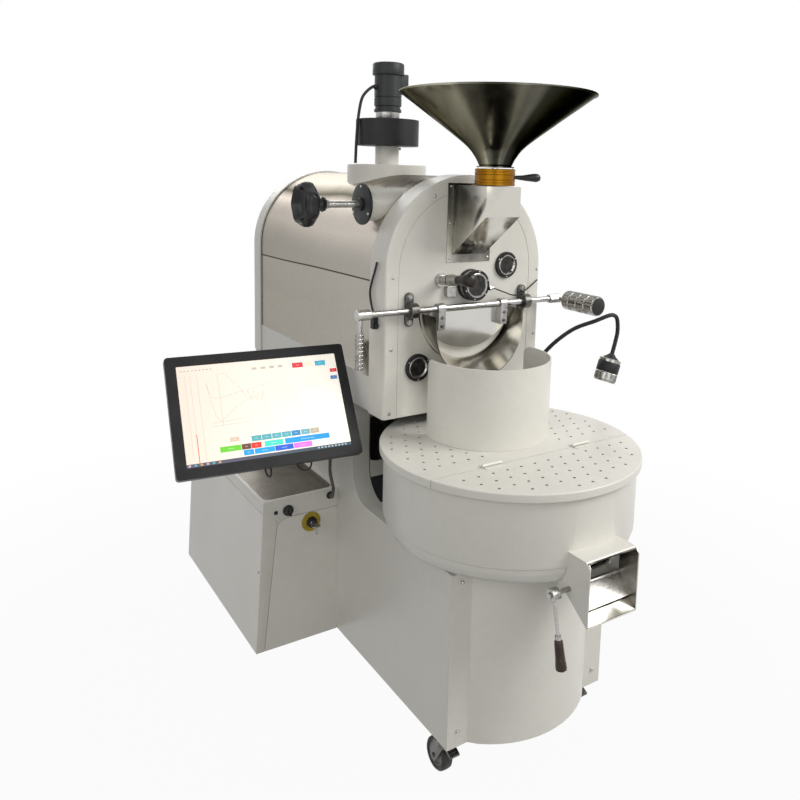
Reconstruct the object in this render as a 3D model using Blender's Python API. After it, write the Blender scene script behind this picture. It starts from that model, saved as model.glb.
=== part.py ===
"""Electric coffee roaster: the CAD source of every separate piece, in metres, +Z up.

While it is built, x is 0 on the machine's centre plane, y is 0 on the pedestal's front face and
z is 0 on the floor. The last step moves everything so that the origin is on the floor under the
centre of the whole machine's box.
"""
import math

import bpy
import bmesh
from mathutils import Matrix, Vector

# Clearances and sheet thicknesses
seat_gap = 0.0003
running_gap = 0.0001
swing_gap = 0.0015
sheet = 0.0025
plate = 0.0080
screw_radius = 0.0035
screw_head = 0.0020

# Casters and pedestal
caster_height = 0.105
wheel_radius = 0.0375
wheel_width = 0.028
caster_inset_x = 0.196
caster_front_y = 0.050
caster_rear_y = 1.080
caster_trail = 0.0256
pedestal_half_width = 0.230
pedestal_depth = 1.157
deck_height = 0.513
step_wall_y = 0.460
step_fillet = 0.080
head_seat_height = 0.768
bulge_radius = 0.258
bulge_centre_y = 0.187
bulge_half_chord = 0.175
bay_half_width = 0.180
bay_low = 0.560
bay_high = 0.730
air_hole_radius = 0.175

# Control cabinet
cabinet_front_y = 0.540
cabinet_back_y = 1.157
cabinet_outer_low = 0.461
cabinet_outer_high = 0.440
cover_top = 0.460
cover_corner_x = 0.368
cover_knee_x = 0.404
cover_knee_z = 0.433
cover_foot_x = 0.438
tray_rim = 0.008
tray_depth = 0.022
tray_corner = 0.020
groove_height = 0.004
groove_low = 0.480
groove_high = 0.503
key_x = 0.309
key_z = 0.434
key_collar_radius = 0.0258
key_body_radius = 0.0135
key_body_length = 0.011
key_length = 0.030
key_head = 0.011
key_sheet = 0.0022
key_eye_radius = 0.0022
selector_x = 0.374
selector_z = 0.480
selector_radius = 0.0135
selector_length = 0.020
cable_hole_x = 0.254
cable_hole_z = 0.495
grommet_radius = 0.009

# Screen, its arm and its cable
screen_x = 0.479
screen_y = 0.418
screen_z = 0.806
screen_width = 0.428
screen_height = 0.281
screen_thickness = 0.034
screen_corner = 0.008
bezel_width = 0.024
bezel_depth = 0.0015
screen_tilt_deg = 33.5
screen_turn_deg = 6.0
arm_radius = 0.014
arm_y = 0.560
arm_z = 0.700
arm_plate_height = 0.120
arm_plate_width = 0.060
tilt_radius = 0.013
tilt_length = 0.060
tilt_ear = 0.012
screen_cable_radius = 0.0032

# Roasting head
arch_radius = 0.235
arch_centre_z = 1.118
face_y = 0.297
band_depth = 0.073
band_sheet = 0.006
face_panel_radius = 0.1975
casing_radius = 0.2305
casing_front_y = 0.3703
casing_back_y = 1.0997
casing_low = 0.856
rear_cover_y = 1.100
door_hole_radius = 0.139
door_hole_half_width = 0.106
door_hole_top = 1.015
chute_hole_half_width = 0.040
chute_hole_low = 1.185
chute_hole_high = 1.262
upper_sight_x = 0.119
upper_sight_z = 1.127
lower_sight_x = 0.142
lower_sight_z = 0.888
sight_radius = 0.0335
sight_bore = 0.022
sight_standoff = 0.008
sight_glass = 0.005
trier_x = 0.079
trier_z = 1.098
trier_tilt_deg = 6.6
trier_flange_radius = 0.0175
trier_tube_radius = 0.0125
trier_socket_length = 0.034
trier_scoop_radius = 0.0100
trier_scoop_length = 0.150
trier_grip_radius = 0.0155
trier_grip_waist = 0.0105
trier_grip_length = 0.098
probe_x = 0.008
probe_z = 1.083
probe_radius = 0.0385
probe_standoff = 0.032
probe_seal = 0.005
probe_neck = 0.030
probe_rod_radius = 0.003
probe_rod_length = 0.120
gland_x = 0.050
gland_z = 1.075
gland_y = 0.265
gland_radius = 0.0065
probe_wire_radius = 0.0016
probe_wire_end_x = 0.225
probe_wire_sag = 0.030
block_x = 0.0555
block_z = 1.070
block_half = 0.013
block_depth = 0.014
switch_y = 0.3345
switch_z = 1.002
switch_height = 0.034
switch_width = 0.013
switch_depth = 0.016
switch_cable_radius = 0.0028
switch_cable_top = 1.145

# Drum, its drive and the heater
drum_centre_z = 1.100
drum_radius = 0.182
drum_front_y = 0.316
drum_back_y = 0.900
drum_sheet = 0.004
vane_height = 0.036
shaft_radius = 0.0125
drive_radius = 0.055
drive_front_y = 0.960
drive_back_y = 1.094
heater_radius = 0.007
heater_spread = 0.090
heater_z = 0.872
heater_front_y = 0.400
heater_back_y = 1.020
stay_thickness = 0.012

# Discharge door
door_axis_y = 0.275
door_axis_z = 1.0325
door_shaft_radius = 0.0075
door_shaft_left = 0.303
door_shaft_right = 0.262
pillow_x = 0.171
pillow_half_width = 0.011
pillow_ring_radius = 0.018
pillow_bolt_spacing = 0.062
pillow_foot_half = 0.041
clamp_x = 0.0945
clamp_half_width = 0.010
clamp_top_radius = 0.0125
clamp_drop = 0.052
door_arc_radius = 0.149
door_arc_centre_z = 1.075
door_half_width = 0.117
door_top = 1.022
door_face_y = 0.284
door_sheet = 0.008
handle_grip_radius = 0.0100
handle_top = 0.991
handle_low = 0.906
handle_rod_radius = 0.0060
collar_radius = 0.0125
collar_length = 0.034
weight_x = 0.2855
weight_radius = 0.0255
weight_near_y = 0.238
weight_far_y = 0.124
weight_rod_radius = 0.0060

# Bean spout
spout_rear_radius = 0.134
spout_rear_z = 1.030
spout_front_radius = 0.132
spout_front_z = 0.987
spout_front_y = 0.232
spout_wing_top = 1.0195
spout_sheet = 0.002
spout_crease = 0.004

# Inlet chute, valve and hopper
chute_half_width = 0.050
chute_front_y = 0.163
chute_top = 1.3285
chute_fold_z = 1.258
chute_low = 1.158
chute_flange_half = 0.0655
chute_flange_low = 1.140
chute_flange_high = 1.333
chute_sheet = 0.002
feed_y = 0.200
valve_radius = 0.0475
valve_low = 1.3300
valve_high = 1.3690
valve_bore = 0.034
valve_slot = 0.011
shutter_sheet = 0.0035
lever_start = 0.030
lever_end = 0.118
lever_thin = 0.0040
lever_fat = 0.0100
lever_turn_deg = -12.0
lever_travel_deg = 66.0
slot_room_deg = 14.0
slot_far_room_deg = 19.0
lever_stem = 0.0060
hopper_rim_radius = 0.226
hopper_rim_z = 1.537
hopper_neck_radius = 0.0365
hopper_neck_z = 1.3720
hopper_sheet = 0.002

# Damper and exhaust
damper_y = 0.420
damper_z = 1.276
damper_pipe_radius = 0.041
damper_flange_radius = 0.050
damper_flange = 0.006
damper_flange_x = 0.233
damper_shaft_radius = 0.0085
damper_wheel_radius = 0.054
damper_wheel_inner_x = 0.333
damper_wheel_outer_x = 0.3965
exhaust_y = 0.710
exhaust_base_radius = 0.113
exhaust_base_top = 1.375
exhaust_pipe_radius = 0.034
blower_low = 1.428
blower_high = 1.502
blower_radius = 0.090
spacer_top = 1.523
motor_radius = 0.039
motor_top = 1.625
motor_cap_radius = 0.045
motor_cap_top = 1.660
box_x = 0.052
box_low = 1.583
box_high = 1.630
box_half_depth = 0.026
motor_cable_radius = 0.0042
cable_foot_x = 0.101
cable_foot_z = 1.365

# Cooling bin
bin_y = 0.109
bin_radius = 0.294
bin_wall_low = 0.575
bin_foot_radius = 0.215
bin_foot_z = 0.5133
lid_radius = 0.304
lid_top = 0.7355
lid_sheet = 0.003
lid_lip = 0.018
lid_seam_y = 0.006
flap_hinge_x = 0.130
hinge_radius = 0.0045
hinge_length = 0.050
lid_window_radius = 0.136
guard_y = 0.201
guard_radius = 0.152
guard_top = 0.924
guard_end_y = 0.240
guard_corner = 0.022
guard_sheet = 0.003
screen_floor_z = 0.534
screen_floor_radius = 0.262
screen_skirt_radius = 0.195
gearbox_radius = 0.045
gearbox_low = 0.440
gearbox_top = 0.548
stirrer_reach = 0.232
stirrer_z = 0.566
paddle_height = 0.036
fan_z = 0.235
fan_radius = 0.125
fan_height = 0.060
fan_motor_radius = 0.050

# Bin discharge chute and its gate
outlet_half_width = 0.070
outlet_front_y = -0.240
outlet_lip_z = 0.468
outlet_top_z = 0.6055
outlet_back_y = -0.178
outlet_heel_z = 0.515
outlet_corner = 0.012
port_half_width = 0.058
port_low = 0.540
port_high = 0.598
gate_axis_y = -0.1855
gate_axis_z = 0.5300
gate_shaft_radius = 0.005
gate_lever_x = 0.112
gate_hub_radius = 0.013
gate_lever_length = 0.092
gate_grip_length = 0.056
gate_rod_radius = 0.0045
gate_lever_deg = 12.8
gate_sheet = 0.002
gate_reach = 0.052

# Lamp
lamp_y = 0.338
lamp_base_z = 0.794
lamp_base_radius = 0.018
lamp_neck_radius = 0.0055
lamp_rise = 0.300
lamp_head_radius = 0.030
lamp_head_length = 0.074
lamp_drop_deg = 19.0

# Shares: fractions of the sizes above, and counts
arc_steps = 14
large_round_steps = 36
round_steps = 20
small_round_steps = 14
tiny_round_steps = 6
wheel_steps = 16
crown_steps = 8
bowl_shares = ((0.0, 1.0), (0.28, 0.95), (0.62, 0.74), (1.0, 0.0))
hopper_shares = ((0.0, 0.0), (0.065, 0.145), (0.187, 0.306), (0.544, 0.618), (1.0, 1.0))
lamp_reach_shares = (0.0, 0.10, 0.24, 0.43, 0.63, 0.80, 0.905, 0.965, 0.985, 0.950, 0.900)
lamp_rise_shares = (0.0, 0.19, 0.36, 0.51, 0.595, 0.645, 0.640, 0.600, 0.490, 0.385, 0.275)
motor_cable_reach_shares = (0.0, 0.40, 0.68, 0.84, 0.93, 0.98, 1.0)
motor_cable_drop_shares = (0.0, 0.060, 0.155, 0.33, 0.55, 0.78, 1.0)
vane_count = 4
stirrer_arms = 2
wheel_lobes = 6
casing_steps = 28
weight_rings = 4

# Colours: base colour, roughness, metallic
finishes = {
    "white_paint": ((0.86, 0.87, 0.86, 1.0), 0.35, 0.0),
    "black_paint": ((0.03, 0.03, 0.035, 1.0), 0.45, 0.0),
    "grey_paint": ((0.30, 0.31, 0.33, 1.0), 0.40, 0.0),
    "mirror_steel": ((0.80, 0.79, 0.77, 1.0), 0.08, 1.0),
    "brushed_steel": ((0.62, 0.61, 0.59, 1.0), 0.30, 1.0),
    "gold_anodised": ((0.80, 0.48, 0.08, 1.0), 0.28, 1.0),
    "black_plastic": ((0.025, 0.025, 0.028, 1.0), 0.35, 0.0),
    "brown_grip": ((0.16, 0.06, 0.035, 1.0), 0.40, 0.0),
    "yellow_plastic": ((0.75, 0.60, 0.05, 1.0), 0.40, 0.0),
    "grey_rubber": ((0.20, 0.20, 0.21, 1.0), 0.60, 0.0),
    "black_rubber": ((0.02, 0.02, 0.02, 1.0), 0.60, 0.0),
}


def clear_scene():
    """Remove everything that the start-up file holds."""
    for item in list(bpy.data.objects):
        bpy.data.objects.remove(item, do_unlink=True)


def material_named(name):
    """Return the shared material of a finish, made on first use."""
    found = bpy.data.materials.get(name)
    if found:
        return found
    colour, roughness, metallic = finishes[name]
    made = bpy.data.materials.new(name)
    made.use_nodes = True
    shader = made.node_tree.nodes["Principled BSDF"]
    shader.inputs["Base Color"].default_value = colour
    shader.inputs["Roughness"].default_value = roughness
    shader.inputs["Metallic"].default_value = metallic
    made.diffuse_color = colour
    return made


def solid(verts, faces):
    """Link a closed solid with its faces turned outwards."""
    mesh = bpy.data.meshes.new("solid")
    mesh.from_pydata([tuple(v) for v in verts], [], faces)
    work = bmesh.new()
    work.from_mesh(mesh)
    bmesh.ops.recalc_face_normals(work, faces=work.faces)
    work.to_mesh(mesh)
    work.free()
    item = bpy.data.objects.new("solid", mesh)
    bpy.context.scene.collection.objects.link(item)
    return item


def loft(loops, closed=False):
    """Skin loops of equal length; cap both ends unless the loops run round to the first."""
    count = len(loops[0])
    verts = [p for loop in loops for p in loop]
    faces = []
    rings = len(loops)
    for k in range(rings if closed else rings - 1):
        n = (k + 1) % rings
        for i in range(count):
            j = (i + 1) % count
            faces.append((k * count + i, k * count + j, n * count + j, n * count + i))
    if not closed:
        faces.append(tuple(range(count))[::-1])
        faces.append(tuple((rings - 1) * count + i for i in range(count)))
    return solid(verts, faces)


def on_axis(axis, along, a, b):
    """Point with the axis value and the two other values in their usual order."""
    if axis == "X":
        return (along, a, b)
    if axis == "Y":
        return (a, along, b)
    return (a, b, along)


def prism(outline, axis, low, high):
    """Straight solid on an outline given in the two other axes."""
    return loft([[on_axis(axis, low, a, b) for a, b in outline],
                 [on_axis(axis, high, a, b) for a, b in outline]])


def block(x, y, z):
    """Box between three pairs of limits."""
    return prism([(x[0], y[0]), (x[1], y[0]), (x[1], y[1]), (x[0], y[1])], "Z", z[0], z[1])


def lathe(profile, axis, centre, steps=round_steps):
    """Turn a closed (radius, height) outline about an axis through centre (a, b)."""
    on_centre = [radius == 0 for radius, height in profile]
    verts = []
    rows = []
    for (radius, height), pole in zip(profile, on_centre):
        row = []
        for k in range(1 if pole else steps):
            angle = 2 * math.pi * k / steps
            row.append(len(verts))
            verts.append(on_axis(axis, height, centre[0] + radius * math.cos(angle),
                                 centre[1] + radius * math.sin(angle)))
        rows.append(row)
    faces = []
    for k, row in enumerate(rows):
        n = (k + 1) % len(rows)
        after = rows[n]
        if len(row) == 1 and len(after) == 1:
            continue
        for i in range(steps):
            j = (i + 1) % steps
            if len(row) == 1:
                faces.append((row[0], after[j], after[i]))
            elif len(after) == 1:
                faces.append((row[i], row[j], after[0]))
            else:
                faces.append((row[i], row[j], after[j], after[i]))
    return solid(verts, faces)


def rod(axis, centre, radius, low, high, steps=small_round_steps):
    """Round bar along an axis."""
    return lathe([(0, low), (radius, low), (radius, high), (0, high)], axis, centre, steps)


def ring(axis, centre, inner, outer, low, high, steps=round_steps):
    """Plain ring along an axis."""
    return lathe([(inner, low), (outer, low), (outer, high), (inner, high)], axis, centre, steps)


def sweep(path, radii, steps=10):
    """Round tube along a path, with one radius for each point and flat ends."""
    points = [Vector(p) for p in path]
    if not isinstance(radii, (list, tuple)):
        radii = [radii] * len(points)
    side = None
    loops = []
    for k, point in enumerate(points):
        before = points[max(k - 1, 0)]
        after = points[min(k + 1, len(points) - 1)]
        ahead = (after - before).normalized()
        if side is None:
            side = ahead.orthogonal().normalized()
        side = (side - ahead * side.dot(ahead)).normalized()
        up = ahead.cross(side)
        loops.append([point + radii[k] * (math.cos(2 * math.pi * i / steps) * side
                                          + math.sin(2 * math.pi * i / steps) * up)
                      for i in range(steps)])
    return loft(loops)


def smooth_path(points, fill=4):
    """Catmull-Rom points through a rough path."""
    pts = [Vector(p) for p in points]
    pts = [2 * pts[0] - pts[1]] + pts + [2 * pts[-1] - pts[-2]]
    made = []
    for k in range(1, len(pts) - 2):
        a, b, c, d = pts[k - 1:k + 3]
        for i in range(fill):
            t = i / fill
            made.append(((2 * b) + (c - a) * t + (2 * a - 5 * b + 4 * c - d) * t * t
                         + (3 * b - a - 3 * c + d) * t * t * t) / 2)
    made.append(pts[-2])
    return made


def arc(centre, radius, start_deg, end_deg, steps=arc_steps):
    """Points on an arc in a plane."""
    turn = math.radians(end_deg - start_deg) / steps
    first = math.radians(start_deg)
    return [(centre[0] + radius * math.cos(first + turn * k),
             centre[1] + radius * math.sin(first + turn * k)) for k in range(steps + 1)]


def arch(radius, low, steps=18):
    """Arch outline (x, z): straight sides and a half circle."""
    return [(radius, low)] + arc((0, arch_centre_z), radius, 0, 180, steps) + [(-radius, low)]


def rounded(a, b, corner, steps=5):
    """Rectangle outline between two pairs of limits, with round corners."""
    made = []
    for ca, cb, start in ((a[1], b[0], -90), (a[1], b[1], 0), (a[0], b[1], 90), (a[0], b[0], 180)):
        ia = ca - corner if ca == a[1] else ca + corner
        ib = cb - corner if cb == b[1] else cb + corner
        made += arc((ia, ib), corner, start, start + 90, steps)
    return made


def boolean(target, others, operation):
    """Union or difference of solids; the others are used up."""
    for other in others:
        step = target.modifiers.new("step", "BOOLEAN")
        step.operation = operation
        step.solver = "EXACT"
        step.object = other
    graph = bpy.context.evaluated_depsgraph_get()
    mesh = bpy.data.meshes.new_from_object(target.evaluated_get(graph))
    target.modifiers.clear()
    target.data = mesh
    for other in others:
        bpy.data.objects.remove(other, do_unlink=True)
    return target


def fuse(items, cuts=()):
    """One solid from several, less the cuts."""
    made = items[0]
    if len(items) > 1:
        made = boolean(made, items[1:], "UNION")
    if cuts:
        made = boolean(made, list(cuts), "DIFFERENCE")
    return made


def gather(items):
    """One cutter from several that don't touch."""
    work = bmesh.new()
    for item in items:
        work.from_mesh(item.data)
    work.to_mesh(items[0].data)
    work.free()
    for item in items[1:]:
        bpy.data.objects.remove(item, do_unlink=True)
    return items[0]


def turn(item, axis, angle_deg, pivot):
    """Turn a solid about an axis through a point."""
    shift = Matrix.Translation(Vector(pivot))
    item.data.transform(shift @ Matrix.Rotation(math.radians(angle_deg), 4, axis) @ shift.inverted())
    return item


def keep(name, item, finish, pivot=(0, 0, 0)):
    """Name a finished piece, give it its material and put its origin on the pivot."""
    item.name = name
    item.data.name = name
    item.data.materials.clear()
    item.data.materials.append(material_named(finish))
    item.data.transform(Matrix.Translation(-Vector(pivot)))
    item.location = Vector(pivot)
    work = bmesh.new()
    work.from_mesh(item.data)
    bmesh.ops.remove_doubles(work, verts=work.verts, dist=seat_gap / 300)
    for face in work.faces:
        face.material_index = 0
        face.smooth = True
    work.to_mesh(item.data)
    work.free()
    item.data.set_sharp_from_angle(angle=math.radians(32))
    return item


def screw(axis, centre, face, outward):
    """Round screw head on a face, sunk a little so that it is one with the sheet."""
    ends = sorted((face - outward * screw_head, face + outward * screw_head))
    return rod(axis, centre, screw_radius, ends[0], ends[1], tiny_round_steps)


def build_pedestal():
    """Pedestal shell, bulged front panel and floor pan."""
    half = pedestal_half_width
    low = caster_height
    front = sheet + seat_gap

    def profile(inset):
        top = deck_height - inset
        wall = step_wall_y + inset
        flat_end = wall - step_fillet
        turn_points = arc((flat_end, top + step_fillet), step_fillet, -90, 0, 8)
        start = front if inset == 0 else front - sheet
        end_z = head_seat_height - inset
        bottom = low if inset == 0 else low - sheet
        return ([(start, bottom), (start, top)] + turn_points
                + [(wall, end_z), (pedestal_depth - inset, end_z), (pedestal_depth - inset, bottom)])

    shell = prism(profile(0), "X", -half, half)
    hollow = prism(profile(sheet), "X", -half + sheet, half - sheet)
    bay = prism(rounded((-bay_half_width, bay_half_width), (bay_low + step_fillet / 2, bay_high),
                        step_fillet / 4), "Y", step_wall_y - sheet, step_wall_y + 2 * sheet)
    air = rod("Z", (0, bin_y), air_hole_radius, deck_height - 2 * sheet, deck_height + sheet,
              large_round_steps)
    duct = rod("Z", (0, (step_wall_y + pedestal_depth) / 2), step_fillet,
               head_seat_height - 2 * sheet, head_seat_height + sheet, round_steps)
    keep("pedestal_shell", fuse([shell], [hollow, bay, air, duct]), "white_paint")

    reach = math.degrees(math.asin(bulge_half_chord / bulge_radius))
    outer = arc((0, bulge_centre_y), bulge_radius, -90 - reach, -90 + reach, 16)
    inner = arc((0, bulge_centre_y), bulge_radius - sheet, -90 + reach, -90 - reach, 16)
    outline = ([(-half, 0), (-bulge_half_chord, 0)] + outer[1:-1] + [(bulge_half_chord, 0), (half, 0),
               (half, sheet), (bulge_half_chord - sheet, sheet)] + inner[1:-1]
               + [(-bulge_half_chord + sheet, sheet), (-half, sheet)])
    panel = prism(outline, "Z", low, deck_height)
    cap = prism([(-bulge_half_chord, 0)] + outer[1:-1] + [(bulge_half_chord, 0)], "Z",
                deck_height - sheet, deck_height)
    heads = [screw("Y", (x, z), 0, -1) for x, z in (
        (-half + step_fillet / 3, deck_height - step_fillet / 2),
        (-half + step_fillet / 3, low + step_fillet / 2),
        (half - step_fillet / 3, deck_height - step_fillet / 2),
        (half - step_fillet / 3, low + step_fillet / 2))]
    keep("pedestal_front_panel", fuse([panel, cap] + heads), "white_paint")

    inside = half - sheet - seat_gap
    pan = block((-inside, inside), (front + seat_gap, pedestal_depth - sheet - seat_gap),
                (low, low + sheet))
    edge = block((-inside, inside), (front + seat_gap, pedestal_depth - sheet - seat_gap),
                 (low, low + step_fillet / 4))
    edge_cut = block((-inside + sheet, inside - sheet),
                     (front + seat_gap + sheet, pedestal_depth - 2 * sheet - seat_gap),
                     (low - sheet, low + step_fillet))
    stations = caster_stations()
    pads = [block((x - wheel_radius * 0.8, x + wheel_radius * 0.8),
                  (y - wheel_radius * 0.8, y + wheel_radius * 0.8),
                  (low - 2 * screw_head, low + sheet / 2)) for x, y in stations]
    stems = [rod("Z", (x, y), wheel_radius / 3, low - wheel_radius / 3, low + sheet / 2)
             for x, y in stations]
    tray = fuse([edge], [edge_cut])
    fan_low = low + sheet
    spot = (0, bin_y)
    fan_body = rod("Z", spot, fan_motor_radius, low + sheet / 2, fan_z - plate, round_steps)
    socket = rod("Z", spot, shaft_radius * 0.6 + running_gap * 2, fan_low + plate * 3, fan_z, round_steps)
    keep("base_floor_pan", fuse([tray, pan, fan_body] + pads + stems, [socket]), "black_paint")


def caster_stations():
    """Swivel axes of the four casters."""
    return [(side * caster_inset_x, y) for y in (caster_front_y, caster_rear_y) for side in (-1, 1)]


def build_casters():
    """Fork and wheel of each caster, trailing towards the back."""
    names = ("front_left", "front_right", "rear_left", "rear_right")
    low = caster_height - wheel_radius / 3
    for name, (x, y) in zip(names, caster_stations()):
        axle = (y + caster_trail, wheel_radius)
        side_gap = wheel_width / 2 + swing_gap
        cheek = side_gap + sheet
        crown_low = 2 * wheel_radius + swing_gap
        crown = ring("Z", (x, y), wheel_radius / 4, wheel_radius * 0.62, crown_low,
                     caster_height - 2 * screw_head - seat_gap, crown_steps)
        cap = block((x - cheek, x + cheek), (y - wheel_radius / 3, y + caster_trail),
                    (crown_low, crown_low + sheet * 1.5))
        cheeks = []
        for side in (-1, 1):
            outline = ([(y - wheel_radius / 3, crown_low + sheet)]
                       + arc(axle, wheel_radius / 3, -150, -20, 6)
                       + [(y + caster_trail + wheel_radius / 3, wheel_radius * 1.3),
                          (y + caster_trail, crown_low + sheet)])
            ends = sorted((x + side * side_gap, x + side * cheek))
            cheeks.append(prism(outline, "X", ends[0], ends[1]))
        pin = rod("X", axle, wheel_radius / 8, x - cheek - sheet, x + cheek + sheet)
        pedal = prism([(y - wheel_radius / 3, crown_low - sheet),
                       (y - wheel_radius * 0.95, crown_low * 0.86),
                       (y - wheel_radius * 0.95, crown_low * 0.92),
                       (y - wheel_radius / 3, crown_low + sheet * 2)],
                      "X", x - wheel_radius / 3, x + wheel_radius / 3)
        bore = rod("Z", (x, y), wheel_radius / 3 + 4 * seat_gap, crown_low - sheet * 4, caster_height,
                   crown_steps)
        fork = fuse([crown, cap, pin, pedal] + cheeks, [bore])
        keep("caster_fork_" + name, fork, "black_paint", (x, y, low))
        w = wheel_width / 2
        bore_radius = wheel_radius / 8 + running_gap * 2
        profile = [(bore_radius, -w), (wheel_radius * 0.34, -w), (wheel_radius * 0.38, -w * 0.6),
                   (wheel_radius * 0.68, -w * 0.6),
                   (wheel_radius * 0.74, -w * 0.9), (wheel_radius * 0.93, -w * 0.9),
                   (wheel_radius, -w * 0.5)]
        profile += [(r, -h) for r, h in profile[::-1]]
        wheel = lathe([(r, x + h) for r, h in profile], "X", axle, wheel_steps)
        keep("caster_wheel_" + name, wheel, "grey_rubber", (x, axle[0], axle[1]))


def cabinet_outline(low, high, inset):
    """Cabinet outline (x, z) with its slanted outer side."""
    rise = (cabinet_outer_low - cabinet_outer_high) / (deck_height - caster_height)
    inner = -pedestal_half_width - seat_gap - inset
    return [(inner, low), (inner, high),
            (-cabinet_outer_low + rise * (high - caster_height) + inset, high),
            (-cabinet_outer_low + rise * (low - caster_height) + inset, low)]


def build_cabinet():
    """Cabinet shell, front cover with the key collar, tray, selector and key."""
    front = cabinet_front_y + sheet + seat_gap
    top = deck_height
    shell = prism(cabinet_outline(caster_height, top, 0), "Y", cabinet_front_y, cabinet_back_y)
    hollow = prism(cabinet_outline(caster_height + sheet, top - tray_depth - 2 * sheet, sheet), "Y",
                   front + sheet, cabinet_back_y - sheet)
    inner_x = -pedestal_half_width - seat_gap
    tray_x = (-cabinet_outer_high + tray_rim, inner_x - tray_rim)
    tray_y = (front + tray_rim, cabinet_back_y - tray_rim)
    well = prism(rounded(tray_x, tray_y, tray_corner), "Z", top - tray_depth, top + sheet)
    left = -cabinet_outer_low
    grooves = [block((left - sheet, -cabinet_outer_high - sheet / 3),
                     (front + sheet, cabinet_back_y + sheet),
                     (z, z + groove_height)) for z in (groove_low, groove_high)]
    hole = rod("Y", (-cable_hole_x, cable_hole_z), grommet_radius, cabinet_front_y - sheet,
               cabinet_front_y + tray_rim + sheet)
    switch_hole = rod("Y", (-key_x, key_z), key_body_radius, front - sheet, front + 2 * sheet)
    select_hole = rod("Y", (-selector_x, selector_z), selector_radius / 2, cabinet_front_y - sheet,
                      front + sheet)

    skin = fuse([prism(rounded((tray_x[0] + seat_gap, tray_x[1] - seat_gap),
                               (tray_y[0] + seat_gap, tray_y[1] - seat_gap), tray_corner - seat_gap),
                       "Z", top - tray_depth + seat_gap, top - sheet)],
                [prism(rounded((tray_x[0] + sheet, tray_x[1] - sheet),
                               (tray_y[0] + sheet, tray_y[1] - sheet),
                               tray_corner - sheet), "Z", top - tray_depth + sheet, top + sheet)])
    keep("cabinet_tray", skin, "brushed_steel")

    cover = [(inner_x, caster_height), (inner_x, cover_top), (-cover_corner_x, cover_top)]
    knee = arc((-cover_corner_x, cover_knee_z), cover_knee_x - cover_corner_x, 90, 180, 6)
    drop = (cover_top - cover_knee_z) / (cover_knee_x - cover_corner_x)
    cover += [(x, cover_knee_z + (z - cover_knee_z) * drop) for x, z in knee[1:]]
    cover += [(-cover_foot_x, caster_height)]
    back = front - seat_gap
    sheet_front = prism(cover, "Y", cabinet_front_y, back)
    collar = ring("Y", (-key_x, key_z), key_body_radius * 0.72, key_collar_radius,
                  cabinet_front_y - sheet, cabinet_front_y + sheet / 2)
    body = ring("Y", (-key_x, key_z), key_body_radius * 0.45, key_body_radius,
                cabinet_front_y - key_body_length, cabinet_front_y + sheet / 2)
    keep("cabinet_front_cover", fuse([sheet_front, collar, body],
                                     [rod("Y", (-key_x, key_z), key_body_radius * 0.45,
                                          cabinet_front_y - key_collar_radius, back + sheet)]),
                                          "white_paint")
    recess = prism([(inner_x + sheet, caster_height - sheet), (inner_x + sheet, cover_top + swing_gap),
                            (-cover_corner_x, cover_top + swing_gap)]
                           + [(x - swing_gap, z + swing_gap * (z - cover_knee_z) / (cover_top - cover_knee_z))
                              for x, z in cover[3:-1]]
                           + [(-cover_foot_x - swing_gap, caster_height - sheet)], "Y",
                           cabinet_front_y - sheet, front)
    keep("cabinet_shell", fuse([shell], [hollow, well, hole, switch_hole, select_hole, recess] + grooves),
         "white_paint")

    knob_face = cabinet_front_y - seat_gap
    knob = lathe([(0, back - sheet / 2), (selector_radius / 2 - running_gap * 2, back - sheet / 2),
                  (selector_radius / 2 - running_gap * 2, knob_face), (selector_radius, knob_face),
                  (selector_radius, knob_face - selector_length / 4),
                  (selector_radius * 0.82, knob_face - selector_length / 4),
                  (selector_radius * 0.76, knob_face - selector_length / 2),
                  (0, knob_face - selector_length / 2)], "Y", (-selector_x, selector_z),
                  small_round_steps)
    bar = block((-selector_x - selector_radius / 4, -selector_x + selector_radius / 4),
                (knob_face - selector_length, knob_face - selector_length / 3),
                (selector_z - selector_radius * 0.7, selector_z + selector_radius * 0.7))
    keep("selector_knob", fuse([knob, bar]), "black_plastic", (-selector_x, knob_face, selector_z))

    tip = cabinet_front_y - key_body_length
    shank = rod("Y", (-key_x, key_z), key_body_radius * 0.45 - running_gap * 4, tip - key_length / 3,
                cabinet_front_y, tiny_round_steps)
    bow = prism(rounded((-key_x - key_head, -key_x + key_head), (tip - key_length, tip - key_length / 4),
                        key_head / 2), "Z", key_z - key_sheet / 2, key_z + key_sheet / 2)
    eye_y = tip - key_length * 0.80
    eye = rod("Z", (-key_x, eye_y), key_eye_radius, key_z - key_sheet * 2, key_z + key_sheet * 2,
              tiny_round_steps)
    keep("mode_key", fuse([shank, bow], [eye]), "brushed_steel", (-key_x, tip, key_z))


def screen_matrix():
    """Placement of the screen: its own x to the right, y up the glass, z out of the glass."""
    turn_z = Matrix.Rotation(math.radians(-screen_turn_deg), 4, "Z")
    lean = Matrix.Rotation(math.radians(90 - screen_tilt_deg), 4, "X")
    return Matrix.Translation((-screen_x, screen_y, screen_z)) @ turn_z @ lean


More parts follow.
